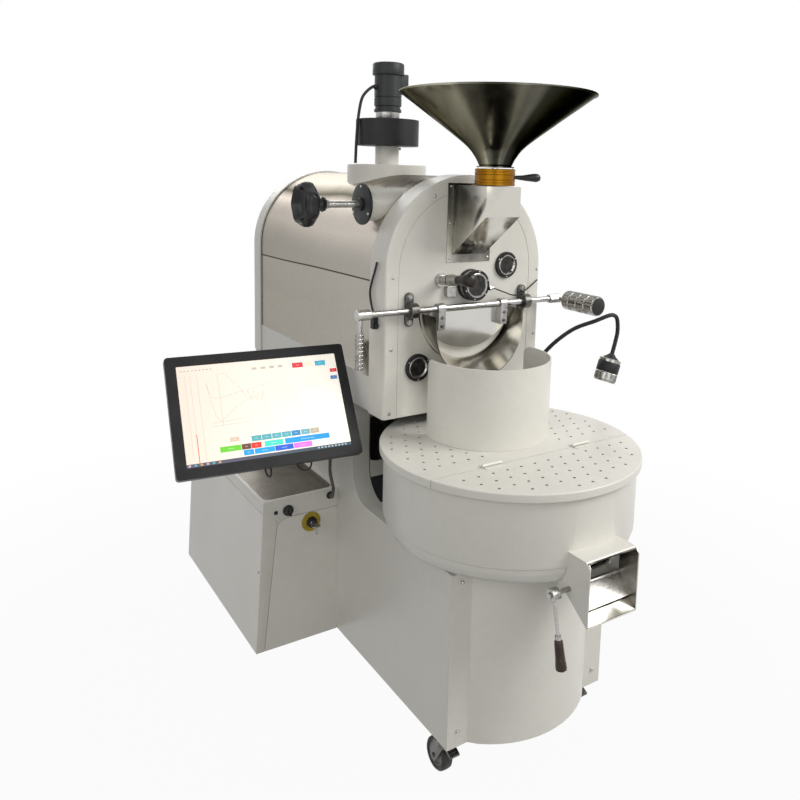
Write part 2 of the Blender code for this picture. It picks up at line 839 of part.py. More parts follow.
def build_screen():
    """Screen case, the fixed arm behind it and the screen cable."""
    place = screen_matrix()
    w, h, t = screen_width / 2, screen_height / 2, screen_thickness
    case = prism(rounded((-w, w), (-h, h), screen_corner), "Z", -t / 2, 0)
    back = prism(rounded((-w * 0.8, w * 0.8), (-h * 0.75, h * 0.75), screen_corner * 3), "Z", -t,
                 -t / 2 + sheet)
    window = prism(rounded((-w + bezel_width, w - bezel_width), (-h + bezel_width, h - bezel_width),
                           sheet),
                   "Z", -bezel_depth, t)
    pivot_depth = t + tilt_radius + sheet
    ears = []
    for side in (-1, 1):
        ends = sorted((side * tilt_length / 2, side * (tilt_length / 2 - tilt_ear)))
        ears.append(prism([(-tilt_radius, -t + sheet), (-tilt_radius, -pivot_depth)]
                          + arc((0, -pivot_depth), tilt_radius, -180, 0, 8)
                          + [(tilt_radius, -t + sheet)], "X", ends[0], ends[1]))
    pin = rod("X", (0, -pivot_depth), tilt_radius / 2, -tilt_length / 2 + sheet, tilt_length / 2 - sheet)
    monitor = fuse([case, back, pin] + ears, [window])
    monitor.data.transform(place)
    pivot = place @ Vector((0, 0, -pivot_depth))
    keep("monitor_case", monitor, "black_plastic", pivot)

    eye = ring("X", (0, -pivot_depth), tilt_radius / 2 + running_gap * 3, tilt_radius,
               -tilt_length / 2 + tilt_ear + seat_gap, tilt_length / 2 - tilt_ear - seat_gap,
               small_round_steps)
    eye.data.transform(place)
    behind = place @ Vector((0, -tilt_radius * 0.7, -pivot_depth - tilt_radius * 0.5))
    wall = -pedestal_half_width - seat_gap
    path = smooth_path([behind, behind + Vector((0, arm_radius, -arm_radius * 2)),
                        Vector((behind.x + arm_radius, (behind.y + arm_y) / 2, (behind.z + arm_z) / 2)),
                        Vector((behind.x / 2 + wall / 2, arm_y - arm_radius, arm_z)),
                        Vector((wall - arm_radius, arm_y, arm_z))],
                        3) + [Vector((wall - sheet, arm_y, arm_z))]
    tube = sweep(path, [arm_radius * 0.62] + [arm_radius] * (len(path) - 1), small_round_steps)
    wall_plate = prism(rounded((arm_y - arm_plate_width / 2, arm_y + arm_plate_width / 2),
                               (arm_z - arm_plate_height / 2, arm_z + arm_plate_height / 2),
                               screen_corner),
                       "X", wall - sheet * 2, wall)
    pin_room = rod("X", (0, -pivot_depth), tilt_radius / 2 + running_gap * 3, -tilt_length, tilt_length)
    pin_room.data.transform(place)
    keep("monitor_arm", fuse([tube, eye, wall_plate], [pin_room]), "black_paint")

    gland = Vector((-cable_hole_x, cabinet_front_y + tray_rim + sheet - seat_gap, cable_hole_z))
    entry = Vector((wall - arm_radius * 0.95, arm_y, arm_z - arm_radius - seat_gap))
    front = cabinet_front_y - tray_rim * 4.4
    path = [gland] + smooth_path([gland - Vector((0, tray_rim * 1.6, 0)),
                                  gland - Vector((0, tray_rim * 3, 0)),
                                  Vector((gland.x - tray_rim, front, cable_hole_z + tray_rim * 4.4)),
                                  Vector((gland.x - tray_rim * 2.2, front,
                                          cable_hole_z + tray_rim * 10.6)),
                                  Vector((entry.x - tray_rim * 1.5, arm_y - tray_rim * 3.5,
                                          entry.z - tray_rim * 5)),
                                  entry - Vector((0, 0, tray_rim * 2))], 3) + [entry]
    keep("screen_cable", sweep(path, screen_cable_radius, 8), "grey_rubber")


def limit_switch():
    """Limit switch and its cable on the left of the front arch."""
    wall = -arch_radius + seat_gap
    box = block((wall - switch_width, wall), (switch_y - switch_depth / 2, switch_y + switch_depth / 2),
                (switch_z - switch_height / 2, switch_z + switch_height / 2))
    path = smooth_path([(wall - switch_width / 2, switch_y, switch_z + switch_height / 2 - sheet),
                        (wall - switch_width / 2, switch_y + switch_depth,
                         switch_z + switch_height * 1.2),
                        (wall - switch_width / 2, face_y + band_depth * 0.8,
                         switch_z + switch_height * 2.2),
                        (wall - switch_cable_radius * 2, face_y + band_depth * 0.5,
                         switch_cable_top - switch_height / 2),
                        (wall - switch_cable_radius * 1.2, face_y + band_depth * 0.46,
                         switch_cable_top)], 4)
    wedge = prism([(switch_y - switch_depth / 2, switch_z - switch_height / 2 + sheet),
                   (switch_y - switch_depth / 2, switch_z),
                   (switch_y - switch_depth, switch_z - switch_height / 3)],
                  "X", wall - switch_width * 0.8, wall - switch_width * 0.2)
    return [box, sweep(path, switch_cable_radius, 6), wedge]


def build_head():
    """Front arch frame, face plate, rear cover, casing and skirt."""
    low = head_seat_height + seat_gap
    back = face_y + band_depth
    outer = prism(arch(arch_radius, low), "Y", face_y, back)
    inner = prism(arch(arch_radius - band_sheet, low - sheet), "Y", face_y + plate, back + sheet)
    opening = prism(arch(face_panel_radius + swing_gap / 2, low - sheet), "Y", face_y - sheet,
                    face_y + plate * 2)
    spots = ((-0.437, 0.779), (0.437, 0.779), (-0.911, -0.034), (-0.919, -0.766), (-0.928, -1.430),
             (0.964, -0.030), (0.947, -0.766), (0.928, -1.430))
    heads = [screw("Y", (x * arch_radius, arch_centre_z + z * arch_radius), face_y, -1) for x, z in spots]
    foot = block((-arch_radius + band_sheet / 2, -face_panel_radius - swing_gap),
                 (face_y + plate / 2, back - sheet),
                 (low, low + sheet))
    foot_right = block((face_panel_radius + swing_gap, arch_radius - band_sheet / 2),
                       (face_y + plate / 2, back - sheet),
                       (low, low + sheet))
    keep("front_arch_frame", fuse([fuse([outer], [inner, opening]), foot,
                                   foot_right] + heads + limit_switch()), "white_paint")

    front = face_y
    face = prism(arch(face_panel_radius, low), "Y", front, front + plate)
    tray_arc = arc((0, door_arc_centre_z), door_hole_radius, -160, -20, 24)
    door_hole = [p for p in tray_arc if abs(p[0]) <= door_hole_half_width]
    edge_z = door_arc_centre_z - math.sqrt(door_hole_radius ** 2 - door_hole_half_width ** 2)
    outline = ([(-door_hole_half_width, door_hole_top), (-door_hole_half_width, edge_z)] + door_hole
               + [(door_hole_half_width, edge_z), (door_hole_half_width, door_hole_top)])
    reach = (front - plate, front + plate * 2)
    cuts = [prism(outline, "Y", *reach),
            block((-chute_hole_half_width, chute_hole_half_width), reach,
                  (chute_hole_low, chute_hole_high)),
            rod("Y", (upper_sight_x, upper_sight_z), sight_bore, *reach),
            rod("Y", (-lower_sight_x, lower_sight_z), sight_bore, *reach),
            rod("Y", (-trier_x, trier_z), trier_tube_radius + plate / 4, *reach),
            rod("Y", (probe_x, probe_z), probe_rod_radius * 2, *reach)]
    stop = prism(rounded((-block_x - block_half, -block_x + block_half),
                         (block_z - block_half, block_z + block_half),
                         block_half / 4), "Y", front - block_depth, front + plate / 2)
    keep("front_face_plate", fuse([face, stop], cuts), "white_paint")

    rear_outer = prism(arch(arch_radius, low), "Y", rear_cover_y, pedestal_depth)
    rear_inner = prism(arch(arch_radius - band_sheet, low + sheet), "Y", rear_cover_y - sheet,
                       pedestal_depth - sheet)
    keep("rear_arch_cover", fuse([rear_outer], [rear_inner]), "white_paint")

    skin_outer = prism(arch(casing_radius, casing_low + seat_gap, casing_steps), "Y", casing_front_y,
                       casing_back_y)
    skin_inner = prism(arch(casing_radius - sheet, casing_low - sheet, casing_steps), "Y",
                       casing_front_y - sheet,
                       casing_back_y + sheet)
    stack_hole = rod("Z", (0, exhaust_y), exhaust_pipe_radius, arch_centre_z,
                     arch_centre_z + 2 * casing_radius, round_steps)
    air_hole = rod("X", (damper_y, damper_z), damper_pipe_radius * 0.8, -2 * casing_radius, 0,
                   round_steps)
    keep("drum_casing", fuse([skin_outer], [skin_inner, stack_hole, air_hole]), "mirror_steel")

    wall = casing_radius
    skirt = block((-wall, wall), (casing_front_y, casing_back_y), (low, casing_low))
    room = block((-wall + sheet, wall - sheet), (casing_front_y + sheet, casing_back_y - sheet),
                 (low - sheet, casing_low + sheet))
    keep("casing_skirt", fuse([skirt], [room]), "white_paint")


def build_drum():
    """Drum with vanes and shaft, its drive and the heater."""
    z = drum_centre_z
    barrel = lathe([(drum_radius - drum_sheet, drum_front_y), (drum_radius, drum_front_y),
                    (drum_radius, drum_back_y), (0, drum_back_y), (0, drum_back_y - drum_sheet),
                    (drum_radius - drum_sheet, drum_back_y - drum_sheet)], "Y", (0, z), round_steps)
    vanes = []
    for k in range(vane_count):
        loops = []
        for s in range(7):
            y = drum_front_y + plate + (drum_back_y - drum_front_y - plate - drum_sheet / 2) * s / 6
            angle = 2 * math.pi * (k / vane_count + 0.021 + 0.16 * s / 6)
            radial = Vector((math.cos(angle), 0, math.sin(angle)))
            across = Vector((-math.sin(angle), 0, math.cos(angle))) * drum_sheet / 2
            far = radial * (drum_radius - drum_sheet * 0.85)
            near = radial * (drum_radius - vane_height)
            base = Vector((0, y, z))
            loops.append([base + far - across, base + far + across, base + near + across,
                          base + near - across])
        vanes.append(loft(loops))
    stub = rod("Y", (0, z), shaft_radius, drum_back_y - drum_sheet / 2, drive_front_y + plate,
               round_steps)
    keep("drum", fuse([barrel, stub] + vanes), "black_paint", (0, (drum_front_y + drum_back_y) / 2, z))

    motor = lathe([(0, drive_back_y), (drive_radius, drive_back_y), (drive_radius, drive_front_y + plate),
                   (drive_radius * 0.6, drive_front_y), (shaft_radius + running_gap * 2, drive_front_y),
                   (shaft_radius + running_gap * 2, drive_front_y + plate * 2),
                   (0, drive_front_y + plate * 2)],
                  "Y", (0, z), round_steps)
    half = casing_radius - sheet - seat_gap
    stay = block((-half, half), (drive_back_y - stay_thickness * 2, drive_back_y - stay_thickness),
                 (z - drive_radius / 3, z + drive_radius / 3))
    keep("drum_gearmotor", fuse([motor, stay]), "grey_paint")

    rows = [-1.0, -0.5, 0.0, 0.5, 1.0]
    path = []
    for k, share in enumerate(rows):
        x = share * heater_spread
        ends = (heater_front_y, heater_back_y) if k % 2 == 0 else (heater_back_y, heater_front_y)
        path += [(x, ends[0], heater_z), (x, ends[1], heater_z)]
    bent = []
    for k, point in enumerate(path[:-1]):
        bent.append(Vector(point))
        if k % 2 == 1:
            middle = (Vector(point) + Vector(path[k + 1])) / 2
            sign = 1 if point[1] == heater_back_y else -1
            bent.append(middle + Vector((0, sign * heater_spread / 4, 0)))
    bent.append(Vector(path[-1]))
    tube = sweep(bent, heater_radius, 6)
    wall = casing_radius - sheet - seat_gap
    bars = [block((-wall, wall), (y - plate / 2, y + plate / 2), (heater_z - heater_radius * 2, heater_z))
            for y in (heater_front_y + plate * 6, heater_back_y - plate * 6)]
    keep("heating_element", fuse([tube] + bars), "brushed_steel")


def sight(name, x, z, front):
    """Sight glass: flange, raised ring and glass in one piece."""
    body = lathe([(0, front - seat_gap - sight_glass), (sight_bore, front - seat_gap - sight_glass),
                  (sight_bore, front - sight_standoff - seat_gap),
                  (sight_bore * 1.2, front - sight_standoff * 1.3),
                  (sight_bore * 1.28, front - sight_standoff),
                  (sight_radius * 0.97, front - sight_standoff),
                  (sight_radius, front - sight_standoff * 0.85), (sight_radius, front - seat_gap),
                  (sight_bore + sheet, front - seat_gap), (sight_bore * 0.965, front - seat_gap),
                  (sight_bore * 0.965, front + plate / 2), (0, front + plate / 2)],
                 "Y", (x, z), round_steps)
    heads = []
    for k in range(3):
        angle = math.radians(90 + 120 * k)
        spot = (x + sight_radius * 0.83 * math.cos(angle), z + sight_radius * 0.83 * math.sin(angle))
        heads.append(screw("Y", spot, front - sight_standoff, -1))
    keep(name, fuse([body] + heads), "black_plastic")


def build_face_fittings():
    """Sight glasses, trier, probe port with its wire, limit switch."""
    front = face_y
    sight("upper_sight_glass", upper_sight_x, upper_sight_z, front)
    sight("lower_sight_glass", -lower_sight_x, lower_sight_z, front)

    pivot = (-trier_x, front, trier_z)
    bore = trier_scoop_radius + running_gap * 3
    socket = lathe([(bore, front - trier_socket_length), (trier_tube_radius, front - trier_socket_length),
                    (trier_tube_radius, front - plate), (trier_flange_radius, front - plate * 0.7),
                    (trier_flange_radius, front + plate * 0.4), (trier_tube_radius, front + plate * 0.4),
                    (trier_tube_radius, front + plate * 1.5), (bore, front + plate * 1.5)],
                   "Y", (-trier_x, trier_z), round_steps)
    turn(socket, "X", -trier_tilt_deg, pivot)
    behind = block((-trier_x - 2 * trier_flange_radius, -trier_x + 2 * trier_flange_radius),
                   (front - seat_gap, front + plate * 4),
                   (trier_z - 2 * trier_flange_radius, trier_z + 2 * trier_flange_radius))
    keep("trier_socket", fuse([socket], [behind]), "mirror_steel")
    stop_y = front - trier_socket_length - seat_gap
    scoop_end = front + trier_scoop_length
    room = rod("Y", (-trier_x, trier_z), trier_scoop_radius - sheet * 0.7, front + plate * 5,
               scoop_end - sheet, small_round_steps)
    mouth = block((-trier_x - trier_scoop_radius * 2, -trier_x + trier_scoop_radius * 2),
                  (front + plate * 5, scoop_end - sheet),
                  (trier_z + trier_scoop_radius / 4, trier_z + trier_scoop_radius * 2))
    shape = ((0.95, 0.08), (0.90, 0.22), (0.70, 0.42), (0.74, 0.60), (1.0, 0.84), (0.94, 0.95),
             (0.70, 1.0))
    profile = [(0, scoop_end), (trier_scoop_radius, scoop_end), (trier_scoop_radius, stop_y),
               (trier_grip_waist, stop_y)]
    profile += [(trier_grip_radius * r, stop_y - trier_grip_length * d) for r, d in shape]
    body = lathe(profile + [(0, stop_y - trier_grip_length)], "Y", (-trier_x, trier_z), small_round_steps)
    trier = fuse([body], [room, mouth])
    turn(trier, "X", -trier_tilt_deg, pivot)
    keep("trier", trier, "brown_grip", pivot)

    tip = front - probe_standoff
    port = lathe([(0, tip + probe_seal / 2), (probe_radius * 0.58, tip + probe_seal / 2),
                  (probe_radius * 0.62, tip - probe_seal / 3),
                  (probe_radius * 0.74, tip - probe_seal / 3),
                  (probe_radius * 0.78, tip), (probe_radius * 0.97, tip),
                  (probe_radius, tip + probe_seal / 3),
                  (probe_radius, tip + probe_seal * 2), (probe_neck, tip + probe_seal * 2),
                  (probe_neck, tip + probe_seal * 3), (probe_radius * 0.98, tip + probe_seal * 3),
                  (probe_radius * 0.98, front - seat_gap), (probe_rod_radius, front - seat_gap),
                  (probe_rod_radius, front + probe_rod_length), (0, front + probe_rod_length)],
                 "Y", (probe_x, probe_z), round_steps)
    gland = sweep([(probe_x + probe_neck * 0.8, gland_y + probe_seal, probe_z - probe_seal / 2),
                   (gland_x + gland_radius, gland_y, gland_z)], gland_radius, tiny_round_steps)
    keep("probe_port", fuse([port, gland]), "black_paint")

    start = Vector((gland_x + gland_radius + seat_gap * 2, gland_y - seat_gap, gland_z))
    finish = Vector((probe_wire_end_x, face_y - swing_gap - probe_wire_radius, probe_z))
    middle = (start + finish) / 2 - Vector((0, 0, probe_wire_sag))
    path = smooth_path([start, start * 0.75 + finish * 0.25 - Vector((0, 0, probe_wire_sag * 0.55)),
                        middle,
                        start * 0.25 + finish * 0.75 - Vector((0, 0, probe_wire_sag * 0.72)),
                        finish - Vector((0, 0, probe_wire_radius * 2)), finish], 4)
    keep("probe_wire", sweep(path, probe_wire_radius, 6), "grey_rubber")


def build_door():
    """Discharge door: shaft with clamps and handle, plate, counterweight, bearings."""
    axis = (door_axis_y, door_axis_z)
    front = face_y - seat_gap
    pivot = (0, door_axis_y, door_axis_z)
    shaft = rod("X", axis, door_shaft_radius, -door_shaft_left, door_shaft_right, round_steps)
    parts = [shaft]
    for side in (-1, 1):
        x = side * clamp_x
        outline = (arc(axis, clamp_top_radius, 0, 180, 8)
                   + [(door_axis_y - clamp_top_radius * 0.8, door_axis_z - clamp_drop),
                      (door_face_y - seat_gap, door_axis_z - clamp_drop),
                      (door_face_y - seat_gap, door_top + swing_gap)])
        parts.append(prism(outline, "X", x - clamp_half_width, x + clamp_half_width))
        for share in (0.42, 0.82):
            parts.append(screw("Y", (x, door_axis_z - clamp_drop * share),
                               door_axis_y - clamp_top_radius * 0.84, -1))
    end = -door_shaft_left
    parts.append(rod("X", axis, collar_radius, end - collar_length / 2, end + collar_length / 2))
    handle_x = end - collar_length / 4
    parts.append(rod("Z", (handle_x, door_axis_y), handle_rod_radius, handle_top - sheet, door_axis_z))
    grip = lathe([(0, handle_low), (handle_grip_radius * 0.8, handle_low),
                  (handle_grip_radius, handle_low + sheet),
                  (handle_grip_radius, handle_top - sheet), (handle_grip_radius * 0.8, handle_top),
                  (0, handle_top)],
                 "Z", (handle_x, door_axis_y), small_round_steps)
    parts.append(grip)
    parts.append(rod("X", axis, collar_radius, door_shaft_right - collar_length / 3,
                     door_shaft_right + sheet, 6))
    keep("door_shaft", fuse(parts), "brushed_steel", pivot)

    lower = [p for p in arc((0, door_arc_centre_z), door_arc_radius, -160, -20,
                            30) if abs(p[0]) < door_half_width]
    edge_z = door_arc_centre_z - math.sqrt(door_arc_radius ** 2 - door_half_width ** 2)
    outline = ([(-door_half_width, door_top), (-door_half_width, edge_z)] + lower
               + [(door_half_width, edge_z), (door_half_width, door_top)])
    keep("door_plate", prism(outline, "Y", door_face_y, door_face_y + door_sheet), "mirror_steel", pivot)

    arm_x = weight_x
    profile = [(0, -weight_far_y), (weight_radius * 0.92, -weight_far_y)]
    rings = weight_rings
    pitch = (weight_near_y - weight_far_y) / rings
    for k in range(rings):
        base = -weight_far_y - pitch * k
        profile += [(weight_radius, base - pitch * 0.12), (weight_radius, base - pitch * 0.80),
                    (weight_radius * 0.95, base - pitch * 0.92)]
    profile += [(weight_radius * 0.9, -weight_near_y), (0, -weight_near_y)]
    weight = lathe([(r, -h) for r, h in profile], "Y", (arm_x, door_axis_z), round_steps)
    arm = rod("Y", (arm_x, door_axis_z), weight_rod_radius, weight_near_y - sheet, door_axis_y)
    eye_low = door_shaft_right + sheet + seat_gap
    eye = rod("X", axis, collar_radius, eye_low, arm_x + weight_rod_radius)
    keep("door_counterweight", fuse([weight, arm, eye]), "brushed_steel", pivot)

    for name, side in (("left_pillow_block", -1), ("right_pillow_block", 1)):
        x = side * pillow_x
        ends = (x - pillow_half_width, x + pillow_half_width)
        hub = rod("X", axis, pillow_ring_radius, *ends, round_steps)
        foot = prism(rounded(ends, (door_axis_z - pillow_foot_half, door_axis_z + pillow_foot_half),
                             sheet),
                     "Y", front - plate, front)
        web = block((ends[0] + sheet, ends[1] - sheet), (door_axis_y, front - plate / 2),
                    (door_axis_z - pillow_ring_radius, door_axis_z + pillow_ring_radius))
        bolts = [rod("Y", (x, door_axis_z + s * pillow_bolt_spacing / 2), screw_radius * 1.4,
                     front - plate - screw_head * 2, front - plate / 2, 6) for s in (-1, 1)]
        bore = rod("X", axis, door_shaft_radius + running_gap, x - plate * 4, x + plate * 4, round_steps)
        keep(name, fuse([foot, hub, web] + bolts, [bore]), "black_paint")


def spout_section(radius, centre_z, y, inset):
    """Half round trough with straight wings, as a line of points (x, y, z) from left to right."""
    line = arc((0, centre_z), radius - inset, 180, 360, 28)
    line = [(x, z) for x, z in line if z < spout_wing_top - sheet]
    if centre_z > spout_wing_top:
        reach = math.sqrt((radius - inset) ** 2 - (centre_z - spout_wing_top) ** 2)
    else:
        reach = radius - inset
    line = [(-reach, spout_wing_top)] + line + [(reach, spout_wing_top)]
    count = 16
    lengths = [0.0]
    for a, b in zip(line, line[1:]):
        lengths.append(lengths[-1] + math.dist(a, b))
    made = []
    for n in range(count + 1):
        goal = n / count * lengths[-1]
        k = max(i for i in range(len(lengths) - 1) if lengths[i] <= goal + seat_gap / 100)
        k = min(k, len(line) - 2)
        part = (goal - lengths[k]) / (lengths[k + 1] - lengths[k])
        made.append((line[k][0] + (line[k + 1][0] - line[k][0]) * part, y,
                     line[k][1] + (line[k + 1][1] - line[k][1]) * part))
    return made


def build_spout():
    """Stainless trough under the discharge door."""
    back = face_y - seat_gap
    middle = ((spout_rear_radius + spout_front_radius) / 2 - spout_crease / 2,
              (spout_rear_z + spout_front_z) / 2, (back + spout_front_y) / 2)
    stations = [(spout_rear_radius, spout_rear_z, back - spout_sheet), middle,
                (spout_front_radius, spout_front_z, spout_front_y)]
    loops = []
    for radius, centre_z, y in stations:
        outer = spout_section(radius, centre_z, y, 0)
        inner = spout_section(radius, centre_z, y, spout_sheet)
        loops.append(outer + inner[::-1])
    trough = loft(loops)
    flange_outer = [(x, z) for x, y, z in spout_section(spout_rear_radius + plate, spout_rear_z, back, 0)]
    flange_inner = [(x, z) for x, y, z in spout_section(spout_rear_radius - spout_sheet, spout_rear_z,
                                                        back, 0)]
    flange = prism(flange_outer + flange_inner[::-1], "Y", back - spout_sheet * 1.2, back)
    keep("bean_spout", fuse([trough, flange]), "mirror_steel")


def build_feed():
    """Inlet chute, valve body with its shutter and lever, hopper."""
    back = face_y - seat_gap
    w = chute_half_width
    side = [(back, chute_top), (chute_front_y, chute_top), (chute_front_y, chute_fold_z),
            (back, chute_low)]
    shell = prism(side, "X", -w, w)
    t = chute_sheet
    room = prism([(back + t, chute_top - t), (chute_front_y + t, chute_top - t),
                  (chute_front_y + t, chute_fold_z + t / 2),
                  (back + t, chute_low + t * 1.2)], "X", -w + t, w - t)
    flange = block((-chute_flange_half, chute_flange_half), (back - t, back),
                   (chute_flange_low, chute_flange_high))
    mouth = block((-w + t, w - t), (back - 2 * t, back + t), (chute_low + t * 2, chute_top - t))
    inlet = rod("Z", (0, feed_y), valve_bore, chute_top - 2 * t, chute_top + t, round_steps)
    keep("inlet_chute", fuse([shell, flange], [room, mouth, inlet]), "mirror_steel")

    low = chute_top + seat_gap
    slot_z = (valve_low + valve_high) / 2
    body = lathe([(valve_bore, low), (valve_radius, low), (valve_radius, slot_z - valve_slot / 2 - sheet),
                  (valve_radius * 0.96, slot_z - valve_slot / 2),
                  (valve_radius * 0.96, slot_z + valve_slot / 2),
                  (valve_radius, slot_z + valve_slot / 2 + sheet), (valve_radius, valve_high - sheet / 2),
                  (valve_radius * 0.97, valve_high), (valve_bore, valve_high)], "Z", (0, feed_y),
                  round_steps)
    fixed = []
    blade_top = slot_z - valve_slot / 2 + shutter_sheet / 2
    for start in (45, 225):
        sector = [(0, feed_y)] + arc((0, feed_y), valve_bore + sheet, start + lever_turn_deg,
                                     start + 90 + lever_turn_deg, 6)
        fixed.append(prism(sector, "Z", blade_top - shutter_sheet, blade_top))
    hub = rod("Z", (0, feed_y), lever_stem, blade_top - shutter_sheet, blade_top, tiny_round_steps)
    heads = []
    for k in range(4):
        angle = math.radians(45 + 90 * k)
        heads.append(rod("Z", (valve_radius * 0.86 * math.cos(angle),
                               feed_y + valve_radius * 0.86 * math.sin(angle)),
                         screw_radius * 0.8, valve_high - sheet, valve_high + sheet / 2,
                         tiny_round_steps))
    centre_turn = lever_turn_deg
    window = [(valve_bore / 2 * math.cos(math.radians(centre_turn)), feed_y)] + arc(
        (0, feed_y), valve_radius * 1.2, centre_turn - slot_room_deg, centre_turn + lever_travel_deg + slot_far_room_deg,
        tiny_round_steps)
    slot = prism(window, "Z", blade_top + seat_gap, slot_z + valve_slot / 2)
    inner_room = rod("Z", (0, feed_y), valve_bore + sheet * 1.2, blade_top + seat_gap,
                     slot_z + valve_slot / 2, round_steps)
    keep("valve_body", fuse([body, hub] + fixed + heads, [slot, inner_room]), "gold_anodised")

    blade_low = blade_top + seat_gap * 2
    blades = []
    for start in (-45, 135):
        sector = [(0, feed_y)] + arc((0, feed_y), valve_bore + sheet, start + lever_turn_deg,
                                     start + 90 + lever_turn_deg, 6)
        blades.append(prism(sector, "Z", blade_low, blade_low + shutter_sheet))
    boss = rod("Z", (0, feed_y), lever_stem, blade_low, blade_low + shutter_sheet, tiny_round_steps)
    direction = Vector((math.cos(math.radians(lever_turn_deg)), math.sin(math.radians(lever_turn_deg)),
                        0))
    lever_z = blade_low + lever_thin * 0.8
    centre = Vector((0, feed_y, lever_z))
    path = [centre + direction * d for d in (lever_start, valve_radius * 1.05, valve_radius * 1.15,
                                              (valve_radius + lever_end) / 2, lever_end * 0.94,
                                              lever_end)]
    stick = sweep(path, [lever_thin * 0.8, lever_thin * 0.8, lever_thin, lever_fat * 0.75, lever_fat,
                         lever_fat * 0.7], tiny_round_steps)
    keep("valve_lever", fuse(blades + [boss, stick]), "black_plastic", (0, feed_y, lever_z))

    outer = []
    inner = []
    for rise, spread in hopper_shares:
        radius = hopper_neck_radius + (hopper_rim_radius - hopper_neck_radius) * rise
        z = hopper_neck_z + (hopper_rim_z - hopper_neck_z) * spread
        outer.append((radius, z))
        inner.append((radius - hopper_sheet, z + hopper_sheet * rise))
    lip = hopper_rim_radius
    outer += [(lip + hopper_sheet, hopper_rim_z), (lip + hopper_sheet, hopper_rim_z + hopper_sheet * 1.5)]
    inner = inner[:-1] + [(lip - hopper_sheet, hopper_rim_z + hopper_sheet * 1.5)]
    foot = valve_high + seat_gap + sheet / 2
    profile = ([(valve_bore, foot), (valve_radius * 0.94, foot),
                (valve_radius * 0.94, foot + hopper_sheet),
                (hopper_neck_radius, foot + hopper_sheet)] + outer[1:] + inner[::-1][:-1] + [(valve_bore, foot + hopper_sheet)])
    funnel = lathe(profile, "Z", (0, feed_y), large_round_steps)
    keep("hopper", funnel, "mirror_steel")


def casing_cutter(grow):
    """The casing's outer form, a little larger, as a cutter."""
    return prism(arch(casing_radius + grow, casing_low, casing_steps), "Y", casing_front_y - plate,
                 casing_back_y + plate)


